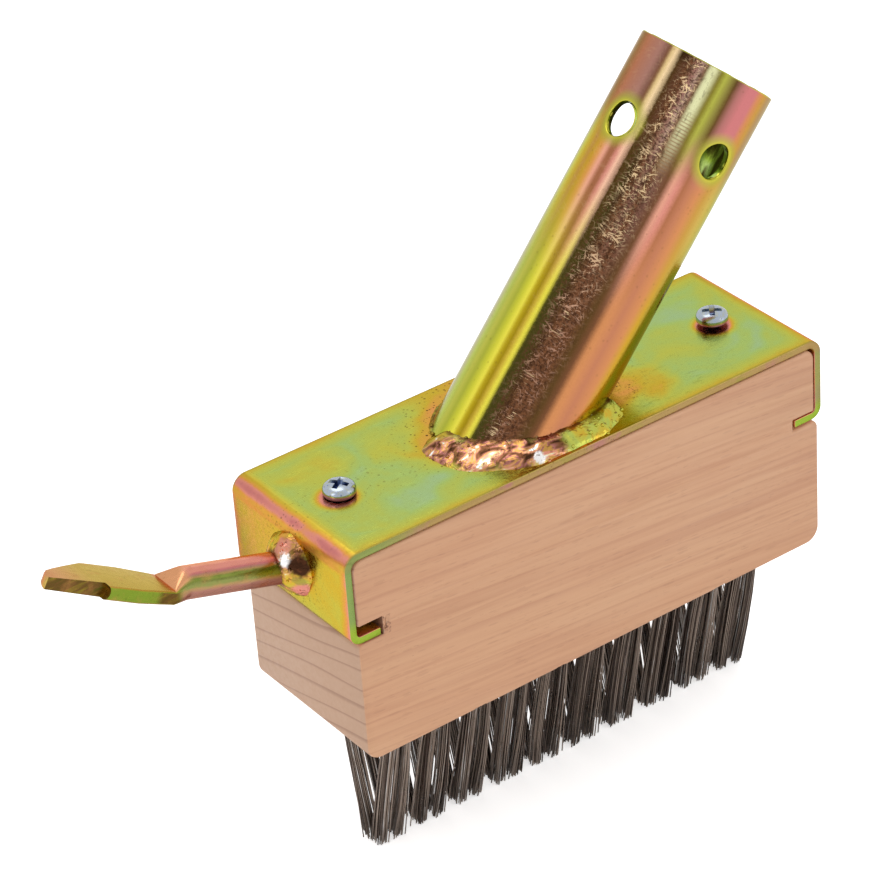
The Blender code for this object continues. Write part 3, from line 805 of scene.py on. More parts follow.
@dataclass(frozen=True)
class SheetFinish:
    """Iridescent chromate on the bent strap, thinnest along its edges and bends."""

    head: HeadFrame
    socket_x: float
    socket_radius: float
    scraper_drop: float
    slot: str = "yellow_chromate_steel"
    mottle: float = 0.30
    edge_fade: float = 9.0 * MM
    bend_fade: float = 7.0 * MM
    bend_start: float = 1.0 * MM
    bend_ridge: Span = (1.5 * MM, 3.0 * MM)
    bend_dull: Span = (5.5 * MM, 4.2 * MM)
    screw_halo: Span = (3.4 * MM, 7.0 * MM)
    screw_shifts: Span = (-0.3 * MM, 1.3 * MM)
    screw_lead: float = 0.8 * MM
    middle: Span = (10.0 * MM, -10.0 * MM)
    weld_halo: Span = (1.0 * MM, 9.0 * MM)
    stain_place: Span = (26.74 * MM, -10.0 * MM)
    stain_span: Span = (14.0 * MM, 6.0 * MM)
    flap_start: Span = (-2.0 * MM, -4.5 * MM)
    edge_line: Span = (0.8 * MM, 0.2 * MM)
    green_end: Span = (-45.0 * MM, -65.0 * MM)
    lip_start: Span = (-17.0 * MM, -21.0 * MM)
    scraper_bead: float = 6.0 * MM
    dirt_span: Span = (11.0 * MM, 1.0 * MM)

    def _plate_film(self, g: Graph, x: Socket, y: Socket, crest: Socket, rim: Socket,
                    thinned: Socket, patch: Socket) -> Socket:
        """Film on the plate, from the place on it and the distances to bends and rims."""
        to_end = g.line(g.minus(crest, self.bend_start), 1 / self.bend_fade,
                        g.fade(crest, *self.bend_ridge, 0.0, 0.16))
        to_rim = g.line(rim, 1 / self.edge_fade, 0.42)
        reach = g.calc("SMOOTH_MIN", to_end, to_rim, 0.25)
        shift = g.fade(x, *self.middle, *self.screw_shifts)
        screw_x = g.minus(g.calc("ABSOLUTE", x), self.head.screw_offset)
        screw = g.length(g.minus(screw_x, shift), g.plus(y, self.screw_lead))
        film = g.calc("MINIMUM", g.times(reach, 0.76), g.line(patch, 1.2, 0.16))
        return g.times(film, g.fade(screw, *self.screw_halo), thinned)

    def _cut_edge(self, finish: Finish, x: Socket, z: Socket, on_flap: Socket) -> Socket:
        """Colours of the sheet's sheared edge, greener on the flaps and the lips."""
        g = finish.graph
        edge = g.ramp(g.noise(finish.place, 75.0, 3.0, 0.6), (
            (0.30, Tint.REED), (0.45, Tint.EDGE_TAN), (0.54, Tint.EDGE_TAN),
            (0.64, Tint.MAUVE)))
        greener = g.calc("MAXIMUM", on_flap, g.fade(x, *self.green_end, 0.0, 0.8))
        greener = g.times(greener, g.fade(x, 0.0, 2 * self.middle[0], 1.0, 0.55))
        edge = g.laid(edge, greener, Tint.EDGE_GREEN)
        return g.laid(edge, g.fade(z, *self.lip_start), Tint.LIME)

    def material(self, shared: Shared) -> Material:
        """Build the sheet's film from its distances to edges, screws and welds."""
        finish = Finish("chromate_sheet", 0.25, 1.0)
        g, head = finish.graph, self.head
        x, y, z = g.parts(g.turned(finish.place, (head.middle_x, 0.0, head.plate_top)))
        crest = g.length(g.minus(head.half_length, g.calc("ABSOLUTE", x)), z)
        rim = g.minus(head.half_width, g.calc("ABSOLUTE", y))
        tube_x = g.times(g.minus(x, self.socket_x - head.middle_x), 0.76)
        tube = g.minus(g.length(tube_x, y), self.socket_radius)
        patch = g.noise(finish.place, 50.0, 2.0, 0.5, 0.8)
        stain = g.length(*(g.minus(part, place) for part, place in zip((x, y), self.stain_place)))
        stain = g.fade(g.line(patch, self.stain_span[1], stain), *self.stain_span)
        thinned = g.times(g.fade(tube, *self.weld_halo, 0.35, 1.0), g.line(stain, -0.55, 1.0))

        plate = self._plate_film(g, x, y, crest, rim, thinned, patch)
        downward = g.line(y, -1.4, g.line(z, -5.0, 0.30))
        flap = g.calc("SMOOTH_MIN", g.line(rim, 90.0, 0.10), downward, 0.1)
        flap = g.calc("MINIMUM", flap, g.line(crest, 80.0, -0.10))
        on_flap = g.fade(z, *self.flap_start)
        chromate = g.group(shared.chromate_tree, Film=g.between(on_flap, plate, flap),
                           Vector=finish.place, Mottle=self.mottle)
        line = g.times(g.fade(rim, *self.edge_line, 0.0, 0.7), g.minus(1.0, on_flap))
        colour = g.laid(chromate.outputs["Color"], line, Tint.REED)
        facing_side = g.fade(g.calc("ABSOLUTE", g.parts(finish.facing)[1]), 0.6, 0.9)
        colour = g.laid(colour, facing_side, self._cut_edge(finish, x, z, on_flap))

        bead = g.minus(g.length(y, g.plus(z, self.scraper_drop)), self.scraper_bead)
        bead = g.between(g.fade(x, 0.0, self.middle[1]), 1.0, bead)
        pits = g.times(stain, g.fade(g.noise(finish.place, 1300.0, 3.0, 0.7), 0.58, 0.68))
        dirt = g.calc("MAXIMUM", shared.specks(g, finish.place, 1500.0, 0.62), pits)
        dirt = g.times(dirt, g.fade(g.calc("MINIMUM", tube, bead), *self.dirt_span, 0.10, 0.95),
                       g.fade(on_flap, 0.0, 1.0, 1.0, 0.4))
        finish.metal(g.laid(colour, dirt, Tint.UMBER))
        scratch = g.group(shared.scratch_tree, Vector=finish.place, Scale=260.0, Stretch=6.0,
                          Amount=0.05).outputs[0]
        dull = g.plus(g.fade(crest, *self.bend_dull, 0.0, 0.2), chromate.outputs["Roughness"])
        finish.set("Roughness", g.line(scratch, 0.2, dull))
        finish.bump(g.noise(finish.place, 1200.0, 3.0, 0.6), 0.05 * MM, 0.25)
        return finish.material


@dataclass
class SheetBracket:
    """The bent strap whose lips hook into the kerfs."""

    head: HeadFrame
    sheet: float = 2.0 * MM
    top_bend: float = 4.0 * MM
    lip_bend: float = 3.2 * MM
    lip_reach: float = 8.6 * MM
    scraper_lip_drop: float = 24.8 * MM
    far_lip_drop: float = 22.8 * MM
    edge_round: float = 0.3 * MM
    hole_radius: float = 2.3 * MM

    def _side(self, lip_drop: float, end: int) -> list[Span]:
        """Outer and inner edge of one end, from the plate to its lip."""
        head = self.head
        lip_foot = head.plate_top - lip_drop
        bend = (head.half_length - self.top_bend, head.plate_top - self.top_bend)
        low = (head.half_length - self.lip_bend, lip_foot + self.lip_bend)
        tip = head.half_length - self.lip_reach
        outer = arc(bend, self.top_bend, QUARTER, 0.0) + arc(low, self.lip_bend, 0.0, -QUARTER)
        inner = arc(bend, self.top_bend - self.sheet, QUARTER, 0.0)
        inner += arc(low, self.lip_bend - self.sheet, 0.0, -QUARTER)
        path = outer + [(tip, lip_foot), (tip, lip_foot + self.sheet)] + inner[::-1]
        return [(head.middle_x + end * x, z) for x, z in path]

    def build(self, material: Material, slot: str) -> Object:
        """Model and dress the strap."""
        head = self.head
        outline = self._side(self.far_lip_drop, 1) + self._side(self.scraper_lip_drop, -1)[::-1]
        bm = bmesh.new()
        loft(bm, [[Vector((x, side * head.half_width, z)) for x, z in outline]
                  for side in (-1, 1)])
        strap = from_bmesh("bent_strap", bm)
        round_edges(strap, self.edge_round, 3, 60.0)
        holes = bmesh.new()
        for end in (-1, 1):
            x = head.middle_x + end * head.screw_offset
            add_rod(holes, Vector((x, 0, head.plate_top - 2 * self.sheet)),
                    Vector((x, 0, head.plate_top + self.sheet)), self.hole_radius)
        cut_with(strap, holes)
        return dress(strap, material, ["mounting_bracket"])


@dataclass(frozen=True)
class Unrolled:
    """Where a shaded point lies on the tube, also with its wall unrolled flat."""

    g: Graph
    local: Socket
    turn: Socket
    share: Socket
    along: Socket
    flat: Socket


@dataclass(frozen=True)
class TubeFinish:
    """Near-mirror chromate with coloured bands along the tube, worn and scratched; the bands hold
    painted reflections and highlights.
    """

    slot: str = "yellow_chromate_tube"
    # The camera's heading round the tube, from which the bands with their painted reflections are
    # laid.
    view_turn: float = radians(135.6)
    middle_start: Span = (28.0 * MM, 60.0 * MM)
    top_start: Span = (64.0 * MM, 80.0 * MM)
    line_pitch: float = 0.85 * MM
    lined_heights: Window = (62.0 * MM, 68.0 * MM, 78.0 * MM, 84.0 * MM)
    clear_start: Span = (60.0 * MM, 75.0 * MM)
    halo_span: Span = (3.4 * MM, 0.5 * MM)
    lip_span: Span = (1.2 * MM, 0.2 * MM)
    inner_span: Span = (0.5 * MM, 1.0 * MM)
    rim_span: Span = (0.5 * MM, 0.2 * MM)
    far_bands: Stops = ((0.02, Tint.PINK), (0.12, Tint.ORANGE), (0.2, Tint.ROSE))
    # Bands by turn round the axis: the pitch, tar, sable and brown stretch is a painted reflection
    # of the darker camera side; the lemon, pearl, ivory and ice streaks are painted highlights of
    # lamps; the rest is chromate colour.
    foot_bands: Stops = (
        (0.25, Tint.SAGE), (0.262, Tint.STONE), (0.285, Tint.SAGE), (0.312, Tint.CELERY),
        (0.332, Tint.CITRON), (0.35, Tint.KHAKI), (0.368, Tint.MUSTARD), (0.382, Tint.LEMON),
        (0.392, Tint.BRASS), (0.403, Tint.BRONZE), (0.412, Tint.GOLD), (0.424, Tint.LEMON),
        (0.434, Tint.PITCH), (0.457, Tint.PITCH), (0.48, Tint.BROWN), (0.512, Tint.BROWN),
        (0.534, Tint.UMBER), (0.551, Tint.BROWN), (0.566, Tint.CORAL), (0.574, Tint.CORAL),
        (0.6, Tint.SALMON), (0.63, Tint.CORAL), (0.655, Tint.HONEY), (0.672, Tint.OLIVE),
        (0.72, Tint.OLIVE), (0.8, Tint.KHAKI))
    middle_bands: Stops = (
        (0.25, Tint.TAN), (0.275, Tint.SAGE), (0.29, Tint.CITRON), (0.318, Tint.GOLD),
        (0.335, Tint.OCHRE), (0.35, Tint.HONEY), (0.366, Tint.ORANGE), (0.381, Tint.BLUSH),
        (0.393, Tint.COPPER), (0.403, Tint.COPPER), (0.412, Tint.PINK), (0.422, Tint.PEARL),
        (0.437, Tint.TAR), (0.458, Tint.PITCH), (0.476, Tint.BROWN), (0.492, Tint.RUSSET),
        (0.504, Tint.BROWN), (0.518, Tint.RUSSET), (0.54, Tint.BROWN), (0.555, Tint.BLUSH),
        (0.566, Tint.PINK), (0.582, Tint.COPPER), (0.6, Tint.SALMON), (0.625, Tint.CORAL),
        (0.65, Tint.OCHRE), (0.68, Tint.STRAW), (0.73, Tint.KHAKI))
    top_bands: Stops = (
        (0.26, Tint.TAN), (0.29, Tint.FAWN), (0.33, Tint.SALMON), (0.38, Tint.MAUVE),
        (0.396, Tint.RUSSET), (0.405, Tint.BROWN), (0.413, Tint.CREAM), (0.422, Tint.IVORY),
        (0.436, Tint.TAR), (0.452, Tint.SABLE), (0.466, Tint.BROWN), (0.48, Tint.MAUVE),
        (0.489, Tint.HAZE), (0.499, Tint.BROWN), (0.509, Tint.ICE), (0.518, Tint.ICE),
        (0.533, Tint.DRAB), (0.547, Tint.CITRON), (0.561, Tint.REED), (0.574, Tint.UMBER),
        (0.592, Tint.BRICK), (0.612, Tint.ROSE), (0.636, Tint.ROSE), (0.652, Tint.CORAL),
        (0.672, Tint.OCHRE), (0.695, Tint.TAN), (0.8, Tint.KHAKI))

    def _unrolled(self, finish: Finish, socket: "HandleSocket") -> Unrolled:
        """Place of a point: turn round the axis, share of a full turn and height."""
        g = finish.graph
        local = g.turned(finish.place, socket.foot, (0.0, socket.lean, 0.0))
        x, y, along = g.parts(local)
        turn = g.calc("ARCTAN2", y, x)
        share = g.calc("FRACT", g.line(turn, 1 / FULL_TURN, (self.view_turn + pi) / FULL_TURN))
        flat = g.joined(g.times(share, FULL_TURN * socket.radius), along)
        return Unrolled(g, local, turn, share, along, flat)

    def _banded(self, skin: Unrolled, grit: Socket) -> Socket:
        """The bands from foot to rim, a little uneven: chromate colours with painted reflections
        and highlights.
        """
        g, along = skin.g, skin.along
        wander = g.noise(g.joined(g.times(skin.share, 3.0), g.times(along, 14.0)), 1.0, 2.0)
        drift = g.line(g.minus(wander, 0.5), 0.010, g.times(g.minus(grit, 0.5), 0.004))
        band = g.plus(skin.share, drift)
        foot, middle, top = (g.ramp(band, (*self.far_bands, *bands, (0.92, Tint.ROSE)))
                             for bands in (self.foot_bands, self.middle_bands, self.top_bands))
        colour = g.blend(g.fade(along, *self.middle_start), foot, middle)
        return g.blend(g.fade(along, *self.top_start), colour, top)

    @staticmethod
    def _marks(shared: Shared, skin: Unrolled) -> Socket:
        """Fine crossing scratches and sparkles on the unrolled tube."""
        g = skin.g
        marks = g.fade(g.noise(skin.flat, 1700.0, 4.0, 0.75), 0.54, 0.61)
        sway = g.node("ShaderNodeTexNoise", named={"Vector": skin.flat, "Scale": 500.0})
        flat = g.vector("ADD", skin.flat, g.scaled(sway.outputs["Color"], 0.7 * MM))
        for angle, scale, stretch in ((0.12, 2800.0, 0.12), (-0.35, 2500.0, 0.10),
                                      (0.60, 2700.0, 0.12), (2.0, 3000.0, 0.14)):
            swung = g.turned(flat, (0.0, 0.0, 0.0), (0.0, 0.0, angle))
            dash = shared.specks(g, g.stretched(swung, stretch, 1.0, 1.0), scale, 0.70)
            marks = g.calc("MAXIMUM", marks, dash)
        return marks

    def _wear_and_glints(self, shared: Shared, skin: Unrolled, colour: Socket) -> tuple[Socket, Socket]:
        """The bands under lines, pits, scratches painted as highlights, painted glints and darker
        patches on the painted dark reflection, and the scratches' mask.
        """
        g, share, along, flat = skin.g, skin.share, skin.along, skin.flat
        lined = g.times(g.window(share, 0.500, 0.508, 0.526, 0.536),
                        g.window(along, *self.lined_heights))
        lines = g.calc("SINE", g.times(along, FULL_TURN / self.line_pitch))
        lines = g.fade(lines, -0.2, 0.9, 0.15, 0.65)
        colour = g.laid(colour, g.times(lined, lines), Tint.CAMEL)
        worn = g.between(g.fade(along, *self.clear_start), g.fade(share, 0.548, 0.500),
                         g.fade(share, 0.506, 0.494))
        pits = g.fade(g.noise(flat, 1100.0, 4.0, 0.8), 0.54, 0.43, 0.0, 0.8)
        pits = g.times(pits, g.fade(share, 0.436, 0.450), worn, g.minus(1.0, lined))
        colour = g.laid(colour, pits, Tint.SABLE)
        # Scratches painted pale pearl and ivory, as highlights caught in them over the dark band;
        # the same mask roughens and bumps them.
        cluster = g.fade(g.noise(flat, 260.0, 2.0, 0.6), 0.42, 0.60, 0.18, 1.0)
        light = g.times(self._marks(shared, skin), g.fade(share, 0.442, 0.480, 0.08, 1.0),
                        worn, cluster, g.fade(along, 0.0, 75.0 * MM, 0.30, 1.0))
        colour = g.laid(colour, light, g.blend(g.fade(along, 20.0 * MM, 55.0 * MM), Tint.PEARL,
                                               Tint.IVORY))
        # Painted glints: small bright dashes across the dark band.
        glint = g.fade(g.noise(g.stretched(flat, 0.10, 1.0, 1.0), 2400.0, 2.0, 0.6), 0.56, 0.63)
        tufted = g.fade(g.noise(g.stretched(flat, 1.0, 0.8, 1.0), 210.0, 1.0), 0.54, 0.62)
        colour = g.laid(colour, g.times(glint, tufted, g.window(share, 0.456, 0.472, 0.488, 0.502)),
                        Tint.IVORY, 0.85)
        # Darker patches over the painted dark reflection band.
        reflection_mottle = g.noise(g.stretched(flat, 1.0, 0.4, 1.0), 700.0, 3.0, 0.6)
        reflection_mottle = g.times(g.fade(reflection_mottle, 0.52, 0.68), g.window(share, 0.446, 0.470, 0.500, 0.550))
        colour = g.laid(colour, reflection_mottle, Tint.SABLE, 0.6)
        return g.laid(colour, shared.specks(g, flat, 900.0, 0.42), Tint.UMBER, 0.2), light

    def _holed(self, skin: Unrolled, socket: "HandleSocket", colour: Socket) -> Socket:
        """Lay the greener film round the holes and a painted highlight on their rounded lips over a
        colour.
        """
        g = skin.g
        turned = g.calc("PINGPONG", g.plus(skin.turn, QUARTER / 2), QUARTER / 2)
        lateral = g.times(g.minus(QUARTER / 2, turned), socket.radius)
        near, _, back = (socket.length - setback for setback in socket.hole_setbacks)
        level = g.between(g.calc("GREATER_THAN", skin.share, 0.5), back, near)
        to_edge = g.minus(g.length(lateral, g.minus(skin.along, level)), socket.hole_radius)
        halo = g.times(g.fade(to_edge, *self.halo_span), g.fade(skin.share, 0.76, 0.74))
        colour = g.laid(colour, halo, Tint.KHAKI, 0.72)
        # Painted highlight along the rounded lip of each hole.
        return g.laid(colour, g.times(g.fade(to_edge, *self.lip_span), halo), Tint.MUSTARD, 0.4)

    def material(self, shared: Shared, socket: "HandleSocket") -> Material:
        """Build the bands from the turn round the tube's axis and the height along it."""
        finish = Finish("chromate_tube", 0.2, 1.0)
        skin = self._unrolled(finish, socket)
        g, local = skin.g, skin.local
        grit = g.noise(local, 1500.0, 2.0, 0.7)
        colour, light = self._wear_and_glints(shared, skin, self._banded(skin, grit))
        colour = self._holed(skin, socket, colour)
        inner = g.ramp(g.noise(g.stretched(local, 1.0, 1.0, 0.3), 140.0, 3.0, 0.6), (
            (0.34, Tint.SOOT), (0.44, Tint.PINE), (0.50, Tint.LIME), (0.56, Tint.LEAF),
            (0.62, Tint.SOOT), (0.72, Tint.ORANGE)))
        below = g.minus(socket.radius, g.length(*g.parts(local)[:2]))
        inside = g.fade(below, *self.inner_span)
        colour = g.laid(colour, inside, inner)
        rim = g.fade(g.minus(socket.length, skin.along), *self.rim_span)
        finish.metal(g.laid(colour, rim, Tint.CITRON, 0.8), 0.5)
        # The inner wall glows a little: painted light inside the bore.
        finish.set("Emission Color", inner)
        finish.set("Emission Strength", g.times(inside, 0.18))
        finish.set("Roughness", g.line(light, 0.25, g.fade(grit, 0.3, 0.8, 0.13, 0.26)))
        finish.bump(g.plus(grit, light), 0.03 * MM, 0.2)
        return finish.material


@dataclass
class HandleSocket:
    """The leaning tube with a pair of rounded holes across it and one in its back."""

    head: HeadFrame
    radius: float = 17.4 * MM
    wall: float = 2.0 * MM
    length: float = 94.1 * MM
    setback: float = 3.7 * MM
    lean: float = radians(40.5)
    hole_radius: float = 4.4 * MM
    hole_setbacks: Triple = (19.5 * MM, 21.3 * MM, 21.0 * MM)
    patch_setback: float = 20.4 * MM
    edge_round: float = 0.45 * MM
    patch_half: float = 8.5 * MM
    columns: int = 24
    patch_rows: int = 14
    foot_rows: int = 12
    rim_rows: int = 4
    hole_rings: int = 7
    ring_ease: float = 1.2
    bend_steps: int = 3
    burr: float = 0.16 * MM
    burr_scale: float = 420.0
    burr_height: float = 0.2 * MM

    @property
    def foot(self) -> Vector:
        """Where the axis meets the plate."""
        return Vector((self.head.middle_x - self.setback, 0, self.head.plate_top))

    @property
    def axes(self) -> tuple[Vector, Vector, Vector]:
        """The tube's two cross directions and its axis."""
        turn = Matrix.Rotation(self.lean, 3, "Y")
        return turn.col[0], turn.col[1], turn.col[2]

    @property
    def _bends(self) -> list[float]:
        """The angles of the steps round a rounded edge."""
        return [QUARTER * step / self.bend_steps for step in range(self.bend_steps + 1)]

    def _spot(self, turn: float, along: float, radius: float) -> Vector:
        """A point by its turn, height along the axis and radius."""
        first, second, axis = self.axes
        return (self.foot + axis * along + radius * (cos(turn) * first + sin(turn) * second))

    def _low(self, turn: float, radius: float) -> float:
        """Height along the axis where a line of the wall meets the plate."""
        first, _, axis = self.axes
        return -radius * cos(turn) * first.z / axis.z

    def _hole_spot(self, middle: float, level: float, angle: float, reach: float,
                   radius: float, depth: float) -> Vector:
        """A point near a hole, by its angle and reach from the hole's axis."""
        side = reach * cos(angle)
        height = sqrt(radius * radius - side * side) + depth
        return self._spot(middle + atan2(side, height), level + reach * sin(angle),
                          hypot(side, height))

    def _patch_edge(self) -> list[Span]:
        """Turn and height of the square round a hole, anticlockwise."""
        wide, tall, half = self.columns, self.patch_rows, self.patch_half
        edge = [(-1 + 2 * step / wide, -1.0) for step in range(wide)]
        edge += [(1.0, -1 + 2 * step / tall) for step in range(tall)]
        edge += [(-x, -y) for x, y in edge]
        return [(x * QUARTER / 2, y * half) for x, y in edge]

    def _grid(self, bm: Shape, turns: Sequence[float], rows: int, radius: float,
              levels: Sequence[Span]) -> None:
        """A grid of wall between a low and a high level for every turn."""
        lines = [[bm.verts.new(self._spot(turn, low + (high - low) * row / rows, radius))
                  for turn, (low, high) in zip(turns, levels)] for row in range(rows + 1)]
        for first, second in zip(lines, lines[1:]):
            for index in range(len(turns) - 1):
                bm.faces.new((first[index], first[index + 1], second[index + 1], second[index]))

    def _wall_face(self, bm: Shape, middle: float, setback: float | None,
                   radius: float, depth: float) -> Ring:
        """One quarter of the outer or inner wall, up to its hole.

        Args:
            bm: The mesh to add to.
            middle: Turn of the hole's axis.
            setback: The hole's distance from the rim, or None for a closed quarter.
            radius: The wall's radius.
            depth: Edge rounding, below the wall or, if negative, above it.

        Returns:
            The ring where the rounded edge of the hole ends, empty without a hole.
        """
        centre = self.length - self.patch_setback
        low, high = centre - self.patch_half, centre + self.patch_half
        turns = [middle - QUARTER / 2 + QUARTER * step / self.columns
                 for step in range(self.columns + 1)]
        self._grid(bm, turns, self.foot_rows, radius,
                   [(self._low(turn, radius), low) for turn in turns])
        self._grid(bm, turns, self.rim_rows, radius,
                   [(high, self.length - self.edge_round)] * len(turns))
        if setback is None:
            self._grid(bm, turns, self.patch_rows, radius, [(low, high)] * len(turns))
            return []
        level = self.length - setback
        edge = self._patch_edge()
        angles = [atan2(centre + rise - level, radius * turn) for turn, rise in edge]
        reach = self.hole_radius + self.edge_round
        rings = []
        for step in range(self.hole_rings + 1):
            share = (1 - step / self.hole_rings) ** self.ring_ease
            ring = []
            for (turn, rise), angle in zip(edge, angles):
                near_turn = asin(reach * cos(angle) / radius)
                near_rise = level + reach * sin(angle)
                ring.append(self._spot(middle + near_turn + (turn - near_turn) * share,
                                       near_rise + (centre + rise - near_rise) * share, radius))
            rings.append(ring)
        for bend in self._bends[1:]:
            rings.append([self._hole_spot(middle, level, angle, self.hole_radius
                                          + self.edge_round * (1 - sin(bend)), radius,
                                          -depth * (1 - cos(bend))) for angle in angles])
        loft(bm, rings, capped=False)
        return rings[-1]

    def build(self, material: Material, slot: str) -> Object:
        """Model and dress the tube."""
        bm = bmesh.new()
        bore = self.radius - self.wall
        near, far, back = self.hole_setbacks
        for quarter, setback in enumerate((None, far, back, near)):
            middle = quarter * QUARTER
            outer = self._wall_face(bm, middle, setback, self.radius, self.edge_round)
            inner = self._wall_face(bm, middle, setback, bore, -self.edge_round)
            loft(bm, (outer, inner), capped=False)
        turns = [FULL_TURN * step / (4 * self.columns) - QUARTER / 2
                 for step in range(4 * self.columns)]
        lip = [(self.edge_round * (1 - sin(bend)), self.edge_round * (1 - cos(bend)))
               for bend in self._bends]
        lip = ([(drop, self.radius - inset) for drop, inset in lip]
               + [(drop, bore + inset) for inset, drop in lip])
        rim = [[self._spot(turn, self.length - drop, radius) for turn in turns]
               for drop, radius in lip]
        foot = [[self._spot(turn, self._low(turn, radius), radius) for turn in turns]
                for radius in (bore, self.radius)]
        for rings in (rim, foot):
            loft(bm, rings, capped=False)
        bmesh.ops.remove_doubles(bm, verts=bm.verts, dist=0.002 * MM)
        axis = self.axes[2]
        for vert in bm.verts:
            along = (vert.co - self.foot).dot(axis)
            if along > self.length - self.burr_height:
                jag = noise.noise(vert.co * self.burr_scale)
                vert.co += axis * (self.burr * jag - self.burr / 2)
        tube = from_bmesh("socket_tube", bm, 40.0)
        return dress(tube, material, ["handle_socket"])


@dataclass(frozen=True)
class Spot:
    """A patch of one colour or of rippled metal with painted highlights and shade, in mm from a
    weld's foot.
    """

    offset: Triple
    radius: float
    tint: Tint | None = None
    share: float = 1.0


@dataclass(frozen=True)
class WeldFinish:
    """Lumpy weld metal under chromate, with soot, painted shade in the crease by the bar and
    painted highlights.
    """

    name: str
    film: float
    spots: tuple[Spot, ...]
    slot: str = "chromate_weld"
    wander: float = 1.5 * MM
    crease: float = 1.1 * MM
    # Ripples of painted dark folds and bright glints, standing in for light and shade on the lumps.
    ripple_light_and_shade: Stops = (
        (0.34, Tint.SABLE), (0.43, Tint.BROWN), (0.49, Tint.BRICK), (0.54, Tint.OCHRE),
        (0.60, Tint.PINK), (0.65, Tint.CREAM), (0.69, Tint.WHITE))

    def material(self, shared: Shared, foot: Vector, axis: Vector, radius: float) -> Material:
        """Build the weld metal round a bar or tube.

        Args:
            shared: Node groups.
            foot: Where the bar's axis meets the flat face.
            axis: The bar's axis.
            radius: The bar's radius.

        Returns:
            The material.
        """
        finish = Finish(self.name, 0.25, 1.0)
        g = finish.graph
        drift = g.noise(finish.place, 170.0, 2.0, 0.6, 1.0)
        colour = g.group(shared.chromate_tree, Film=g.line(drift, 1.1, self.film),
                         Vector=finish.place, Mottle=0.25).outputs["Color"]
        wobble = g.line(g.noise(finish.place, 420.0, 3.0, 0.6), 2 * self.wander, -self.wander)
        ripple = g.noise(g.stretched(finish.place, 0.4, 0.8, 1.3), 420.0, 2.0, 0.5, 0.8)
        ripple_light_and_shade = g.ramp(ripple, self.ripple_light_and_shade)
        # Spots without a tint take the painted ripples of light and shade.
        for spot in self.spots:
            place = tuple(foot + Vector(spot.offset) * MM)
            away = g.plus(g.vector("DISTANCE", finish.place, place), wobble)
            mask = g.fade(away, spot.radius * 1.1 * MM, spot.radius * 0.6 * MM)
            colour = g.laid(colour, mask, spot.tint or ripple_light_and_shade, spot.share)
        soot = g.fade(g.noise(finish.place, 480.0, 3.0, 0.6, 1.0), 0.57, 0.68, 0.0, 0.75)
        arm = g.vector("SUBTRACT", finish.place, tuple(foot))
        off_axis = g.vector("LENGTH", g.vector("CROSS_PRODUCT", arm, tuple(axis)))
        # Painted shade in the crease where the bead meets the bar, laid in plum together with the
        # soot.
        crease = g.fade(g.plus(off_axis, wobble), radius + self.crease, radius, 0.0, 0.8)
        finish.metal(g.laid(colour, g.calc("MAXIMUM", soot, crease), Tint.PLUM))
        finish.set("Roughness", g.fade(drift, 0.3, 0.7, 0.10, 0.26))
        finish.bump(g.noise(finish.place, 480.0, 3.0, 0.55, 1.2), 0.35 * MM, 0.5)
        return finish.material


# Spots: the untinted ones are painted ripples of light and shade, the white ones painted
# highlights, the sable ones painted shade; pink and reed ones are film colour.
SOCKET_WELD = WeldFinish("socket_weld_metal", -0.06, (
    Spot((-25.56, -3.0, 0.6), 6.0), Spot((-20.56, -10.5, 1.1), 7.0),
    Spot((-13.56, -16.0, 1.1), 7.0), Spot((-6.06, -19.0, 1.1), 5.5),
    Spot((15.94, -12.5, 0.6), 3.2, Tint.SABLE, 0.9),
    Spot((-9.56, -20.5, 0.6), 1.8, Tint.WHITE, 0.9)))
SCRAPER_WELD = WeldFinish("scraper_weld_metal", -0.20, (
    Spot((-2.76, -4.0, 5.9), 5.0, share=0.8), Spot((-3.26, -2.2, 7.6), 2.6, Tint.PINK, 0.7),
    Spot((-1.36, -6.6, -3.5), 3.3, Tint.PINK),
    Spot((-2.26, -7.1, 0.4), 1.9, Tint.REED, 0.7),
    Spot((-3.66, -3.6, 5.3), 2.0, Tint.WHITE), Spot((-1.56, -6.8, 3.9), 3.2, Tint.SABLE)))


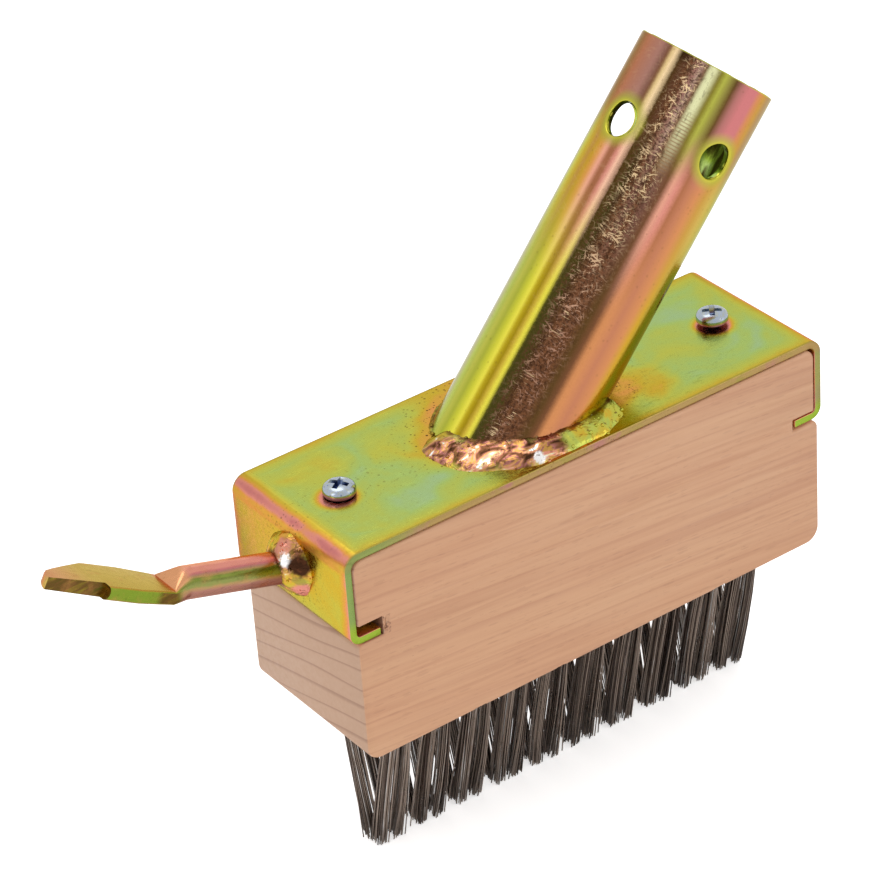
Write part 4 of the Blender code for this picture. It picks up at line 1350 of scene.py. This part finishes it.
@dataclass
class WeldBead:
    """A bead of weld where a bar or tube meets a flat face."""

    name: str
    node: str
    foot: Vector
    axis: Vector
    normal: Vector
    radius: float
    leg: float
    rise: float
    lump: float
    swell: Vector
    bare_way: Vector
    bare_half: float
    face_half: float
    stations: int = 200
    bare_taper: float = radians(14.0)
    bare_thin: float = 0.88
    gap: float = 0.3 * MM
    arc_shares: Sequence[Span] = (
        (0.94, 0.10), (0.86, 0.24), (0.72, 0.42), (0.57, 0.58), (0.42, 0.74), (0.24, 0.88),
        (0.10, 0.96))

    @staticmethod
    def _uneven(turn: float, seed: float) -> float:
        """A smooth uneven value between -1 and 1 round the bead."""
        return (0.5 * sin(5 * turn + seed) + 0.3 * sin(9 * turn + 2.1 * seed)
                + 0.2 * sin(14 * turn + 3.7 * seed))

    def _rings(self) -> list[Ring]:
        """Sections of the bead, each inside its corner."""
        side = self.axis.orthogonal().normalized()
        other = self.axis.cross(side)
        rings = []
        for step in range(self.stations):
            turn = FULL_TURN * step / self.stations
            out = side * cos(turn) + other * sin(turn)
            flat_out = (out - self.normal * out.dot(self.normal)).normalized()
            wall = self.foot + out * (self.radius - self.gap)
            root = wall - self.axis * ((wall - self.foot).dot(self.normal)
                                       / self.axis.dot(self.normal))
            grow = 1.0 + max(0.0, flat_out.dot(self.swell)) * self.swell.length
            bare = (self.bare_half - flat_out.angle(self.bare_way)) / self.bare_taper + 0.5
            kept = 1.0 - self.bare_thin * min(max(bare, 0.0), 1.0)
            reach = kept * (self.leg * grow + self.lump * self._uneven(turn, self.leg / self.lump))
            climb = kept * (self.rise * grow + self.lump / 2 * self._uneven(
                turn, self.rise / self.lump))
            reach, climb = reach + 2 * self.gap, climb + self.gap
            top = root + self.axis * climb
            toe = root + flat_out * (reach + climb * max(0.0, self.axis.dot(flat_out)))
            toe.y = max(toe.y, -self.face_half)
            ring = [root - self.normal * self.gap, toe - self.normal * self.gap / 2]
            ring += [root + (toe - root) * across + (top - root) * along
                     for across, along in self.arc_shares]
            rings.append(ring + [top])
        return rings

    def _tree(self, material: Material) -> GeometryTree:
        """Ripples over the bead and droplets frozen on it."""
        tree = GeometryTree(self.name + "_surface", lump=self.lump, lump_scale=300.0,
                            droplet_radius=0.55 * MM, droplet_density=60000.0, seed=4,
                            material=material)
        g, given = tree.graph, tree.given
        spot, normal = tree.step("InputPosition"), tree.step("InputNormal")
        broad = g.minus(g.noise(spot, given["lump_scale"], 2.0, 0.5, 0.4), 0.5)
        fine = g.minus(g.noise(spot, g.times(given["lump_scale"], 3.2), 2.0), 0.5)
        height = g.times(g.line(fine, 0.5, broad), g.times(given["lump"], 1.7))
        lumpy = tree.step("SetPosition", given["geometry"], Offset=g.scaled(normal, height))
        spread = tree.step("DistributePointsOnFaces", lumpy, Density=given["droplet_density"],
                           Seed=given["seed"])
        drop = tree.step("MeshIcoSphere", Radius=given["droplet_radius"], Subdivisions=2)
        drops = tree.step("InstanceOnPoints", spread, Instance=drop, Scale=tree.luck(0.25, 1.0, 0))
        tree.finish(tree.step("SetShadeSmooth", tree.together(lumpy, drops)))
        return tree

    def build(self, material: Material, slot: str) -> Object:
        """Model and dress the bead."""
        bm = bmesh.new()
        loft(bm, self._rings(), closed=True)
        bead = from_bmesh(self.name, bm, 80.0)
        self._tree(material).run(bead)
        return dress(bead, material, [self.node])


@dataclass(frozen=True)
class BarFinish:
    """Chromate on the scraper, banded by the way each strip of the bar faces: partly chromate
    colour, partly painted reflections.
    """

    slot: str = "yellow_chromate_steel"
    rod_bands: Stops = (
        (0.1, Tint.REED), (0.25, Tint.GOLD), (0.4, Tint.ORANGE), (0.5, Tint.BLUSH),
        (0.53, Tint.PINK), (0.575, Tint.PINK), (0.597, Tint.ROSE), (0.614, Tint.MAUVE),
        (0.634, Tint.EDGE_TAN), (0.65, Tint.MOSS), (0.672, Tint.MOSS), (0.7, Tint.LICHEN),
        (0.722, Tint.LICHEN), (0.745, Tint.TAN), (0.775, Tint.MAUVE))
    blade_bands: Stops = (
        (0.1, Tint.REED), (0.25, Tint.LIME), (0.38, Tint.CORAL), (0.47, Tint.STRAW),
        (0.57, Tint.STRAW), (0.63, Tint.OCHRE), (0.66, Tint.OLIVE), (0.71, Tint.FERN),
        (0.77, Tint.FERN), (0.82, Tint.REED), (0.9, Tint.MAUVE))
    blade_fade: float = 3.0 * MM
    crank_window: Window = (-1.5 * MM, 0.5 * MM, 4.0 * MM, 7.0 * MM)
    tip_fade: float = 14.0 * MM
    ground_span: Span = (0.6 * MM, 1.0 * MM)

    def material(self, shared: Shared, scraper: "WeedScraper") -> Material:
        """Build the bar's bands from the direction of its faces."""
        finish = Finish("chromate_bar", 0.25, 1.0)
        g = finish.graph
        _, face_y, face_z = g.parts(finish.facing)
        x, y, _ = g.parts(finish.place)
        # Colour by facing direction: painted reflections over the chromate colours.
        lean = g.calc("ARCTAN2", g.minus(0.0, face_y), face_z)
        grain = g.stretched(finish.place, 0.12, 1.0, 1.0)
        streak = g.noise(grain, 900.0, 3.0, 0.6)
        share = g.plus(g.line(lean, 1 / FULL_TURN, 0.5), g.times(g.minus(streak, 0.5), 0.03))
        blade_x = scraper.blade_start.x
        on_blade = g.fade(x, blade_x + self.blade_fade, blade_x)
        colour = g.blend(on_blade, g.ramp(share, self.rod_bands), g.ramp(share, self.blade_bands))
        # Upward faces of the crank and the tip get paler peach and pink: a painted sheen from
        # above.
        up = g.fade(face_z, 0.4, 0.8)
        crank = g.window(x, *(blade_x + away for away in self.crank_window))
        colour = g.laid(colour, g.times(crank, up), Tint.PEACH)
        tip = g.times(g.fade(x, scraper.tip_x + self.tip_fade, scraper.tip_x), up)
        colour = g.laid(colour, tip, Tint.PINK, 0.55)
        ground = g.times(g.fade(g.plus(y, scraper.half_width), *self.ground_span),
                         g.fade(face_y, -0.9, -0.97), on_blade)
        honed = g.ramp(g.noise(grain, 700.0, 4.0, 0.65),
                       ((0.3, Tint.PINE), (0.5, Tint.UMBER), (0.7, Tint.DRAB)))
        colour = g.laid(colour, ground, honed)
        mottled = g.noise(finish.place, 260.0, 3.0, 0.6)
        colour = g.laid(colour, g.fade(mottled, 0.45, 0.8), Tint.CORAL, 0.35)
        specks = shared.specks(g, finish.place, 1100.0, 0.6)
        finish.metal(g.laid(colour, specks, Tint.SOOT, 0.15))
        finish.set("Roughness", g.fade(streak, 0.3, 0.75, 0.18, 0.36))
        finish.bump(streak, 0.06 * MM, 0.3)
        return finish.material


@dataclass
class WeedScraper:
    """The round rod, cranked and flattened into a pointed blade with one ground edge."""

    head: HeadFrame
    rod_radius: float = 4.0 * MM
    rod_length: float = 30.5 * MM
    rod_rise: float = radians(16.6)
    rod_drop: float = 13.3 * MM
    crank_length: float = 5.0 * MM
    crank_turn: float = radians(5.0)
    root_width: float = 9.8 * MM
    width: float = 12.8 * MM
    thickness: float = 3.6 * MM
    tip_thickness: float = 3.0 * MM
    edge: float = 0.7 * MM
    length: float = 36.8 * MM
    rise: float = radians(31.0)
    grind_length: float = 16.8 * MM
    grind_height: float = 4.2 * MM
    grind_depth: float = 1.9 * MM
    crease: float = 0.7 * MM
    grind_overrun: float = 2.0 * MM
    facets: int = 10
    nose_shares: Sequence[Span] = (
        (0.10, 1.0), (0.30, 1.0), (0.55, 1.0), (0.58, 0.985), (0.61, 0.92), (0.75, 0.57),
        (0.88, 0.22), (0.94, 0.03), (0.97, -0.16), (0.99, -0.38), (1.0, -0.55))

    @property
    def half_width(self) -> float:
        """Half of the blade's width."""
        return self.width / 2

    @property
    def foot(self) -> Vector:
        """Where the rod's axis meets the flap."""
        head = self.head
        return Vector((head.middle_x - head.half_length, 0, head.plate_top - self.rod_drop))

    @property
    def rod_axis(self) -> Vector:
        """Direction of the rod, away from the flap."""
        return outward(self.rod_rise)

    @property
    def blade_start(self) -> Vector:
        """Where the crank ends and the blade starts."""
        return (self.foot + self.rod_axis * self.rod_length
                + outward(self.crank_turn) * self.crank_length)

    @property
    def blade_axis(self) -> Vector:
        """Direction of the blade, towards its point."""
        return outward(self.rise)

    @property
    def tip_x(self) -> float:
        """X of the blade's point."""
        return (self.blade_start + self.blade_axis * self.length).x

    def _section(self, centre: Vector, rise: float, near: float, far: float, half: float,
                 corner: float) -> Ring:
        """A rounded section across the bar between two Y values."""
        normal = Vector((sin(rise), 0, cos(rise)))
        ring = []
        for quarter in range(4):
            for step in range(self.facets):
                turn = QUARTER * (quarter + (step + 0.5) / self.facets)
                side = far - corner if cos(turn) > 0 else near + corner
                level = copysign(half - corner, sin(turn))
                ring.append(centre + Vector((0, side + corner * cos(turn), 0))
                            + normal * (level + corner * sin(turn)))
        return ring

    def _blend_section(self, centre: Vector, rise: float, share: float) -> Ring:
        """A section part of the way from the round rod to the flat blade."""
        half_wide = self.rod_radius + (self.root_width / 2 - self.rod_radius) * share
        half_thick = self.rod_radius + (self.thickness / 2 - self.rod_radius) * share
        corner = min(half_thick, self.rod_radius + (self.edge - self.rod_radius) * share)
        return self._section(centre, rise, -half_wide, half_wide, half_thick, corner)

    def _rings(self) -> list[Ring]:
        """Every section from the flap to the point."""
        foot, axis, start, along = self.foot, self.rod_axis, self.blade_start, self.blade_axis
        rod_end, crank = foot + axis * self.rod_length, outward(self.crank_turn)
        root = self._blend_section(foot, self.rod_rise, 0.0)
        rings = [[point + axis * ((foot.x - point.x) / axis.x) for point in root]]
        rings += [self._blend_section(*section) for section in (
            (foot + axis * (self.rod_length * 0.35), self.rod_rise, 0.0),
            (foot + axis * (self.rod_length * 0.7), self.rod_rise, 0.0),
            (rod_end - axis * self.crease, self.rod_rise, 0.0),
            (rod_end, self.rod_rise * 0.9, 0.03),
            (rod_end + crank * self.crease, self.crank_turn, 0.14),
            (start - crank * self.crease, self.crank_turn, 0.88),
            (start, (self.rise + self.crank_turn) / 2, 0.99),
            (start + along * self.crease, self.rise, 1.0))]
        for station, back in self.nose_shares:
            widen = min(1.0, station / 0.3)
            half = self.root_width / 2 + (self.half_width - self.root_width / 2) * widen
            thick = self.thickness + (self.tip_thickness - self.thickness) * max(
                0.0, (station - 0.55) / 0.45)
            rings.append(self._section(start + along * (self.length * station), self.rise,
                                       -half, half * back, thick / 2, self.edge))
        return rings

    def build(self, material: Material, slot: str) -> Object:
        """Model and dress the scraper."""
        bm = bmesh.new()
        loft(bm, self._rings())
        bar = from_bmesh("scraper_bar", bm, 40.0)
        normal = Vector((sin(self.rise), 0, cos(self.rise)))
        half = self.grind_height / 2
        first = self.length - self.grind_length + half
        outline = [(first + x, z) for x, z in arc((0.0, 0.0), half, QUARTER, 3 * QUARTER)]
        end = self.length + self.grind_overrun
        outline += [(end, -half), (end, half)]
        grind = bmesh.new()
        loft(grind, [[self.blade_start + self.blade_axis * length + normal * level
                      + Vector((0, y, 0)) for length, level in outline]
                     for y in (-self.half_width + self.grind_depth,
                               -self.half_width - self.grind_overrun)])
        cut_with(bar, grind, 40.0)
        return dress(bar, material, ["weed_scraper"])


@dataclass(frozen=True)
class ScrewFinish:
    """Bright blue-white zinc, with painted shade in the recess and darker towards the seat under
    the rim.
    """

    slot: str = "bright_zinc_screw"
    recess_depths: Span = (0.15 * MM, 0.9 * MM)
    recess_radii: Span = (2.3 * MM, 2.0 * MM)
    skirt_levels: Span = (1.5 * MM, 0.4 * MM)

    def material(self, shared: Shared, screws: "PanScrews") -> Material:
        """Build the zinc."""
        finish = Finish("bright_zinc", 0.2, 1.0)
        g, head = finish.graph, screws.head
        x, y, level = g.parts(g.turned(finish.place, (head.middle_x, 0.0, head.plate_top)))
        grain = g.noise(finish.place, 1300.0, 3.0, 0.6)
        middle = g.length(g.minus(g.calc("ABSOLUTE", x), head.screw_offset), y)
        # Painted shade in the cross recess.
        recess = g.times(g.fade(g.minus(screws.height, level), *self.recess_depths),
                         g.fade(middle, *self.recess_radii))
        colour = g.laid(Tint.ZINC, g.fade(grain, 0.4, 0.7), Tint.SAGE, 0.5)
        colour = g.laid(colour, recess, Tint.ZINC_BLUE, 0.75)
        # Darker brown towards the seat, under the rim.
        colour = g.laid(colour, g.fade(level, *self.skirt_levels), Tint.DEEP_BROWN, 0.7)
        specks = shared.specks(g, finish.place, 1700.0, 0.6)
        finish.set("Base Color", g.laid(colour, specks, Tint.ZINC_BLUE, 0.5))
        finish.set("Roughness", g.fade(grain, 0.3, 0.7, 0.14, 0.3))
        finish.bump(grain, 0.05 * MM, 0.3)
        return finish.material


@dataclass
class PanScrews:
    """Two pan head screws with a cross recess and a rolled thread."""

    head: HeadFrame
    head_radius: float = 4.05 * MM
    height: float = 3.2 * MM
    rim: float = 1.1 * MM
    seat: float = 0.3 * MM
    far_proud: float = 0.7 * MM
    core_radius: float = 1.45 * MM
    length: float = 22.0 * MM
    plain_end: float = 4.0 * MM
    thread_pitch: float = 2.0 * MM
    recess_span: float = 5.5 * MM
    recess_width: float = 1.35 * MM
    recess_depth: float = 1.7 * MM
    rim_round: float = 0.3 * MM
    middle_radii: Span = (0.4 * MM, 2.0 * MM)
    far_turn: float = radians(24.0)
    crown_shares: Sequence[Span] = (
        (1.0, 0.12), (0.985, 0.25), (0.95, 0.42), (0.88, 0.60), (0.76, 0.77), (0.60, 0.90),
        (0.40, 0.97), (0.20, 1.0))

    def _cross(self, span: float, width: float) -> Ring:
        """Outline of a cross recess round the screw's axis."""
        arm, slot = span / 2, width / 2
        corners = []
        for quarter in range(4):
            turn = Matrix.Rotation(quarter * QUARTER + QUARTER / 3, 3, "Z")
            corners += [turn @ Vector(point)
                        for point in ((arm, -slot, 0), (arm, slot, 0), (slot, slot, 0))]
        return corners

    def _turned(self) -> Object:
        """One screw's turned body, with its recess, standing on the origin."""
        up = Vector((0, 0, 1))
        crown = self.height - self.seat - self.rim
        profile = [(0.3 * self.core_radius, self.seat - self.length),
                   (self.core_radius, self.seat - self.length + self.plain_end),
                   (self.core_radius, self.seat), (0.94 * self.head_radius, self.seat),
                   (self.head_radius, self.seat + self.rim_round),
                   (self.head_radius, self.seat + self.rim)]
        profile += [(self.head_radius * wide, self.seat + self.rim + crown * high)
                    for wide, high in self.crown_shares]
        bm = bmesh.new()
        loft(bm, [circle(up * height, Vector((1, 0, 0)), Vector((0, 1, 0)), radius, 48)
                  for radius, height in profile])
        screw = from_bmesh("pan_head_screws", bm, 50.0)
        recess = bmesh.new()
        foot = self._cross(self.recess_span * 0.42, self.recess_width * 0.7)
        mouth = self._cross(self.recess_span * 1.5, self.recess_width * 1.35)
        loft(recess, [[up * (self.height - self.recess_depth) + corner for corner in foot],
                      [up * (self.height + self.recess_depth) + corner for corner in mouth]])
        cut_with(screw, recess, 50.0)
        middle = bmesh.new()
        low, high = self.middle_radii
        bmesh.ops.create_cone(middle, cap_ends=True, segments=4, radius1=low,
                              radius2=high, depth=2 * self.recess_depth,
                              matrix=Matrix.Translation(up * self.height)
                              @ Matrix.Rotation(QUARTER / 3, 4, "Z"))
        cut_with(screw, middle, 50.0)
        return screw

    def _tree(self, material: Material) -> GeometryTree:
        """The rolled thread, and both screws in their places."""
        threaded = self.length - 2 * self.plain_end
        tree = GeometryTree(
            "screw_pair", middle_x=self.head.middle_x, offset=self.head.screw_offset,
            seat_z=self.head.plate_top, far_proud=self.far_proud, far_turn=self.far_turn,
            thread_radius=self.core_radius, thread_length=threaded,
            thread_turns=threaded / self.thread_pitch, material=material)
        g, given = tree.graph, tree.given
        radius, length = given["thread_radius"], given["thread_length"]
        helix = g.node("GeometryNodeCurveSpiral", named={
            "Resolution": 20, "Rotations": given["thread_turns"], "Start Radius": radius,
            "End Radius": radius, "Height": length})
        ridge = tree.step("CurvePrimitiveCircle", Resolution=4, Radius=g.times(radius, 0.36))
        thread = g.node("GeometryNodeCurveToMesh", named={
            "Curve": helix.outputs[0], "Profile Curve": ridge, "Fill Caps": True}).outputs[0]
        low = g.joined(0.0, 0.0, g.line(length, -1.0, -self.plain_end))
        screw = tree.together(given["geometry"], tree.step("Transform", thread, Translation=low))
        index = tree.step("InputIndex")
        x = g.line(g.line(index, 2.0, -1.0), given["offset"], given["middle_x"])
        z = g.line(index, given["far_proud"], given["seat_z"])
        turn = g.joined(0.0, 0.0, g.times(index, given["far_turn"]))
        points = tree.step("Points", Count=2, Position=g.joined(x, 0.0, z))
        tree.finish(tree.step("InstanceOnPoints", points, Instance=screw, Rotation=turn))
        return tree

    def build(self, material: Material, slot: str) -> Object:
        """Model and dress both screws."""
        screws = self._tree(material).run(self._turned())
        return dress(screws, material, ["bracket_screw_left", "bracket_screw_right"])


@dataclass(frozen=True)
class WireFinish:
    """Drawn steel wire, each strand with its own tone."""

    slot: str = "steel_wire"
    tone: str = "wire_tone"

    def material(self, shared: Shared) -> Material:
        """Build the wire."""
        finish = Finish("drawn_wire", 0.4, 1.0)
        g = finish.graph
        tone = g.node("ShaderNodeAttribute", attribute_name=self.tone).outputs["Fac"]
        streak = g.noise(g.stretched(finish.place, 900.0, 900.0, 40.0), 1.0, 3.0)
        finish.set("Base Color", g.ramp(g.line(g.minus(streak, 0.5), 0.3, tone), (
            (0.25, Tint.WIRE_DARK), (0.60, Tint.WIRE_GREY), (0.90, Tint.WIRE_GREY),
            (1.0, Tint.WIRE_BRIGHT))))
        specks = shared.specks(g, finish.place, 2600.0, 0.8)
        finish.set("Roughness", g.line(specks, 0.25, g.fade(streak, 0.3, 0.7, 0.26, 0.46)))
        finish.bump(streak, 0.02 * MM, 0.2)
        return finish.material


@dataclass
class WireRow:
    """One row of tufts, each folded into two fanned bundles of fine wires."""

    head: HeadFrame
    layout: TuftLayout
    row: Row
    wires: int = 46
    wire_radius: float = 0.17 * MM
    split: float = 0.75 * MM
    fan: float = 3.9 * MM
    crossways: float = 2.0 * MM
    ragged: float = 1.3 * MM
    bulge: float = 0.5 * MM
    bow: float = 0.16 * MM
    bundle_bow: float = 0.4 * MM
    scatter: float = 0.35 * MM
    stray: float = 3.5 * MM
    inside_share: float = 0.08
    even_steps: Span = (0.7548777, 0.5698403)

    @property
    def nodes(self) -> list[str]:
        """The CAD tufts of this row."""
        return [f"tuft_{self.row.name.lower()}_{index + 1:02d}"
                for index in range(self.layout.tufts)]

    def _numbers(self) -> dict[str, int | float]:
        """Every number that the wires' rules read, by name."""
        layout = self.layout
        own = ("wires", "wire_radius", "split", "fan", "crossways", "ragged", "bulge", "bow",
               "bundle_bow", "scatter", "stray", "inside_share")
        shared = ("tufts", "pitch", "root_spread", "tip_spread", "root_radius")
        return {"seed": 20 + self.row.value, "side": float(self.row.value),
                "first_x": layout.first_x(self.head), "root_z": self.head.block_low.z,
                **{name: getattr(self, name) for name in own},
                **{name: getattr(layout, name) for name in shared}}

    def _lie(self, tree: GeometryTree) -> dict[str, Socket]:
        """Where each wire starts and ends and which way it bends, by name."""
        g, given = tree.graph, tree.given
        index = tree.step("InputIndex")
        middle = g.plus(index, 0.5)
        tuft = g.calc("FLOOR", g.calc("DIVIDE", middle, g.times(given["wires"], 2.0)))
        bundle = g.calc("FLOOR", g.calc("DIVIDE", middle, given["wires"]))
        sign = g.line(g.calc("MODULO", bundle, 2.0), 2.0, -1.0)
        spread, level = (g.calc("FRACT", g.times(index, step)) for step in self.even_steps)
        level = g.line(level, 2.0, -1.0)
        away = g.line(spread, g.minus(given["root_radius"], given["split"]), given["split"])
        chord = g.calc("SQRT", g.minus(g.calc("POWER", given["root_radius"], 2.0),
                                       g.calc("POWER", away, 2.0)))
        tuft_x = g.line(tuft, given["pitch"], given["first_x"])
        root_y = g.line(level, chord, g.times(given["side"], given["root_spread"]))
        root = g.joined(g.line(sign, away, tuft_x), root_y, given["root_z"])

        fan = g.times(g.calc("DIVIDE", away, given["root_radius"]), given["fan"])
        wild = g.times(g.calc("POWER", tree.luck(0.0, 1.0, 1), 18.0), given["stray"])
        wild = g.line(wild, tree.luck(-1.0, 1.0, 2), g.times(tree.luck(-1.0, 1.0, 3),
                                                             given["scatter"]))
        tip_y = g.line(level, given["crossways"], g.times(given["side"], given["tip_spread"]))
        short = g.times(g.calc("POWER", tree.luck(0.0, 1.0, 4), 2.0), given["ragged"])
        tip = g.joined(g.plus(g.line(sign, fan, tuft_x), wild), tip_y, short)

        start = g.vector("ADD", root, g.scaled(g.vector("SUBTRACT", root, tip),
                                               given["inside_share"]))
        bow_x, bow_y = (g.line(tree.luck(-1.0, 1.0, offset, bundle), given["bundle_bow"],
                               g.times(tree.luck(-1.0, 1.0, offset + 1), given["bow"]))
                        for offset in (5, 8))
        bend = g.joined(g.line(sign, given["bulge"], bow_x), bow_y)
        return {"start": start, "tip": tip, "bend": bend}

    @staticmethod
    def _bent(tree: GeometryTree, wires: Socket, names: Sequence[str]) -> Socket:
        """Upright unit wires, each laid along its kept start, tip and bend."""
        g = tree.graph
        x, y, z = g.parts(tree.step("InputPosition"))
        share = g.plus(z, 0.5)
        start, tip, bend = (tree.kept_vector(name) for name in names)
        line = g.vector("ADD", start, g.scaled(g.vector("SUBTRACT", tip, start), share))
        hump = g.times(share, g.minus(1.0, share), 4.0)
        place = g.vector("ADD", g.vector("ADD", line, g.scaled(bend, hump)), g.joined(x, y))
        wires = tree.step("SetPosition", wires, Position=place)
        for name in names:
            wires = tree.step("RemoveAttribute", wires, Name=name)
        return tree.step("SetShadeSmooth", wires)

    def _tree(self, material: Material, tone: str) -> GeometryTree:
        """The wires of a row, from a rule for each wire's root and tip."""
        tree = GeometryTree(f"{self.row.name.lower()}_wire_row", material=material,
                            **self._numbers())
        g, given = tree.graph, tree.given
        points = tree.step("Points", Count=g.times(given["wires"], 2.0, given["tufts"]))
        lie = self._lie(tree)
        for name, value in lie.items():
            points = tree.stored(points, name, "FLOAT_VECTOR", value)
        points = tree.stored(points, tone, "FLOAT", tree.luck(0.0, 1.0, 7))
        unit = tree.step("MeshCylinder", 5, 4, 1, given["wire_radius"], 1.0)
        placed = tree.step("InstanceOnPoints", points, Instance=unit)
        tree.finish(self._bent(tree, tree.step("RealizeInstances", placed), tuple(lie)))
        return tree

    def build(self, material: Material, finish: WireFinish) -> Object:
        """Grow and dress the row."""
        name = f"{self.row.name.lower()}_wires"
        wires = new_object(name, bpy.data.meshes.new(name))
        self._tree(material, finish.tone).run(wires)
        return dress(wires, material, self.nodes)


@dataclass
class Studio:
    """Pale floor, soft even light and the camera."""

    lens: float = 154.89
    clip_start: float = 0.01
    place: Triple = (-0.4144161, -0.6139548, 0.5834361)
    heading: float = radians(-34.30792)
    dip: float = radians(32.6232)
    roll: float = radians(-4.27128)
    floor_half: float = 3.0
    floor_glows: Span = (0.18, 0.55)
    dark_side: float = 0.88
    seen_sky: float = 1.05
    sky_strength: float = 0.90
    aim: Triple = (0.02, 0.0, 0.1)

    @property
    def turn(self) -> Matrix:
        """The camera's rotation."""
        return (Matrix.Rotation(self.heading, 4, "Z") @ Matrix.Rotation(QUARTER - self.dip, 4, "X")
                @ Matrix.Rotation(self.roll, 4, "Z"))

    def camera(self) -> None:
        """Create the camera and make it the scene's."""
        data = bpy.data.cameras.new("camera")
        data.lens = self.lens
        data.clip_start = self.clip_start
        camera = new_object("camera", data)
        camera.matrix_world = Matrix.Translation(self.place) @ self.turn
        bpy.context.scene.camera = camera

    def floor(self) -> None:
        """Lay the floor under the wire tips."""
        finish = Finish("studio_floor", 0.9, 0.0)
        g = finish.graph
        cloud = g.noise(finish.place, 3.0, 2.0)
        finish.set("Base Color", g.laid(Tint.FLOOR, cloud, Tint.STONE, 0.04))
        finish.set("Emission Color", Tint.WHITE)
        seen = g.node("ShaderNodeLightPath").outputs["Is Camera Ray"]
        finish.set("Emission Strength", g.between(seen, *self.floor_glows))
        bm = bmesh.new()
        bmesh.ops.create_grid(bm, x_segments=4, y_segments=4, size=self.floor_half)
        floor = from_bmesh("studio_floor", bm, None)
        floor.data.materials.append(finish.material)

    def world(self) -> None:
        """An even white surround, darker on the camera's side."""
        world = bpy.data.worlds.new("soft_surround")
        world.use_nodes = True
        bpy.context.scene.world = world
        g = Graph(world.node_tree)
        sky = world.node_tree.nodes["Background"]
        way = g.node("ShaderNodeTexCoord").outputs["Generated"]
        toward = g.vector("DOT_PRODUCT", way, tuple(self.turn.col[2].to_3d()))
        light = g.between(g.fade(toward, 0.55, 0.95), 1.0, self.dark_side)
        seen = g.node("ShaderNodeLightPath").outputs["Is Camera Ray"]
        bright = g.between(seen, light, self.seen_sky)
        g.feed(sky.inputs["Color"], g.joined(bright, bright, bright))
        g.feed(sky.inputs["Strength"], self.sky_strength)

    def lamp(self, name: str, place: Triple, width: float, height: float, power: float) -> None:
        """A soft box that faces the head."""
        data = bpy.data.lights.new(name, "AREA")
        data.shape = "RECTANGLE"
        data.size, data.size_y = width, height
        data.energy = power
        facing = (Vector(self.aim) - Vector(place)).to_track_quat("-Z", "Y")
        new_object(name, data).matrix_world = (Matrix.Translation(place)
                                               @ facing.to_matrix().to_4x4())

    def build(self) -> None:
        """Set up the whole studio."""
        bpy.context.scene.view_settings.view_transform = "Standard"
        self.camera()
        self.floor()
        self.world()
        self.lamp("left_box", (-1.3, -0.2, 0.9), width=0.5, height=1.0, power=1.8)
        self.lamp("right_box", (0.9, -1.1, 0.8), width=0.4, height=1.0, power=1.0)
        self.lamp("top_box", (0.1, 0.5, 1.6), width=0.9, height=0.9, power=3.5)


def main() -> None:
    """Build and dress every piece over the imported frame."""
    logging.basicConfig(level=logging.INFO, format="%(message)s")
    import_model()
    head = HeadFrame.read()
    layout = TuftLayout()
    shared = Shared()
    Studio().build()

    beech = BeechFinish()
    block = BrushBlock(head, layout)
    block.build(beech.material(shared, head, block.scraper_kerf), beech.slot)

    socket = HandleSocket(head)
    scraper = WeedScraper(head)
    sheet = SheetFinish(head, socket.foot.x, socket.radius, scraper.rod_drop)
    SheetBracket(head).build(sheet.material(shared), sheet.slot)
    tube = TubeFinish()
    socket.build(tube.material(shared, socket), tube.slot)

    bar = BarFinish()
    scraper.build(bar.material(shared, scraper), bar.slot)

    beads = (
        (WeldBead(name="socket_bead", node="socket_weld_bead", foot=socket.foot,
                  axis=socket.axes[2], normal=Vector((0, 0, 1)), radius=socket.radius,
                  leg=3.7 * MM, rise=2.6 * MM, lump=0.6 * MM,
                  swell=Vector((-0.55, -0.60, 0.0)), bare_way=Vector((0.52, 0.85, 0.0)),
                  bare_half=radians(108.0), face_half=head.half_width - 1.0 * MM),
         SOCKET_WELD),
        (WeldBead(name="scraper_bead", node="scraper_weld_bead", foot=scraper.foot,
                  axis=scraper.rod_axis, normal=Vector((-1, 0, 0)), radius=scraper.rod_radius,
                  leg=3.2 * MM, rise=4.1 * MM, lump=0.35 * MM,
                  swell=Vector((0.0, -0.50, 0.22)), bare_way=Vector((0.0, 0.0, 1.0)),
                  bare_half=-1.0, face_half=head.half_width),
         SCRAPER_WELD))
    for bead, metal in beads:
        bead.build(metal.material(shared, bead.foot, bead.axis, bead.radius), metal.slot)

    screws = PanScrews(head)
    zinc = ScrewFinish()
    screws.build(zinc.material(shared, screws), zinc.slot)

    wire = WireFinish()
    drawn = wire.material(shared)
    for row in Row:
        WireRow(head, layout, row).build(drawn, wire)


if __name__ == "__main__":
    main()
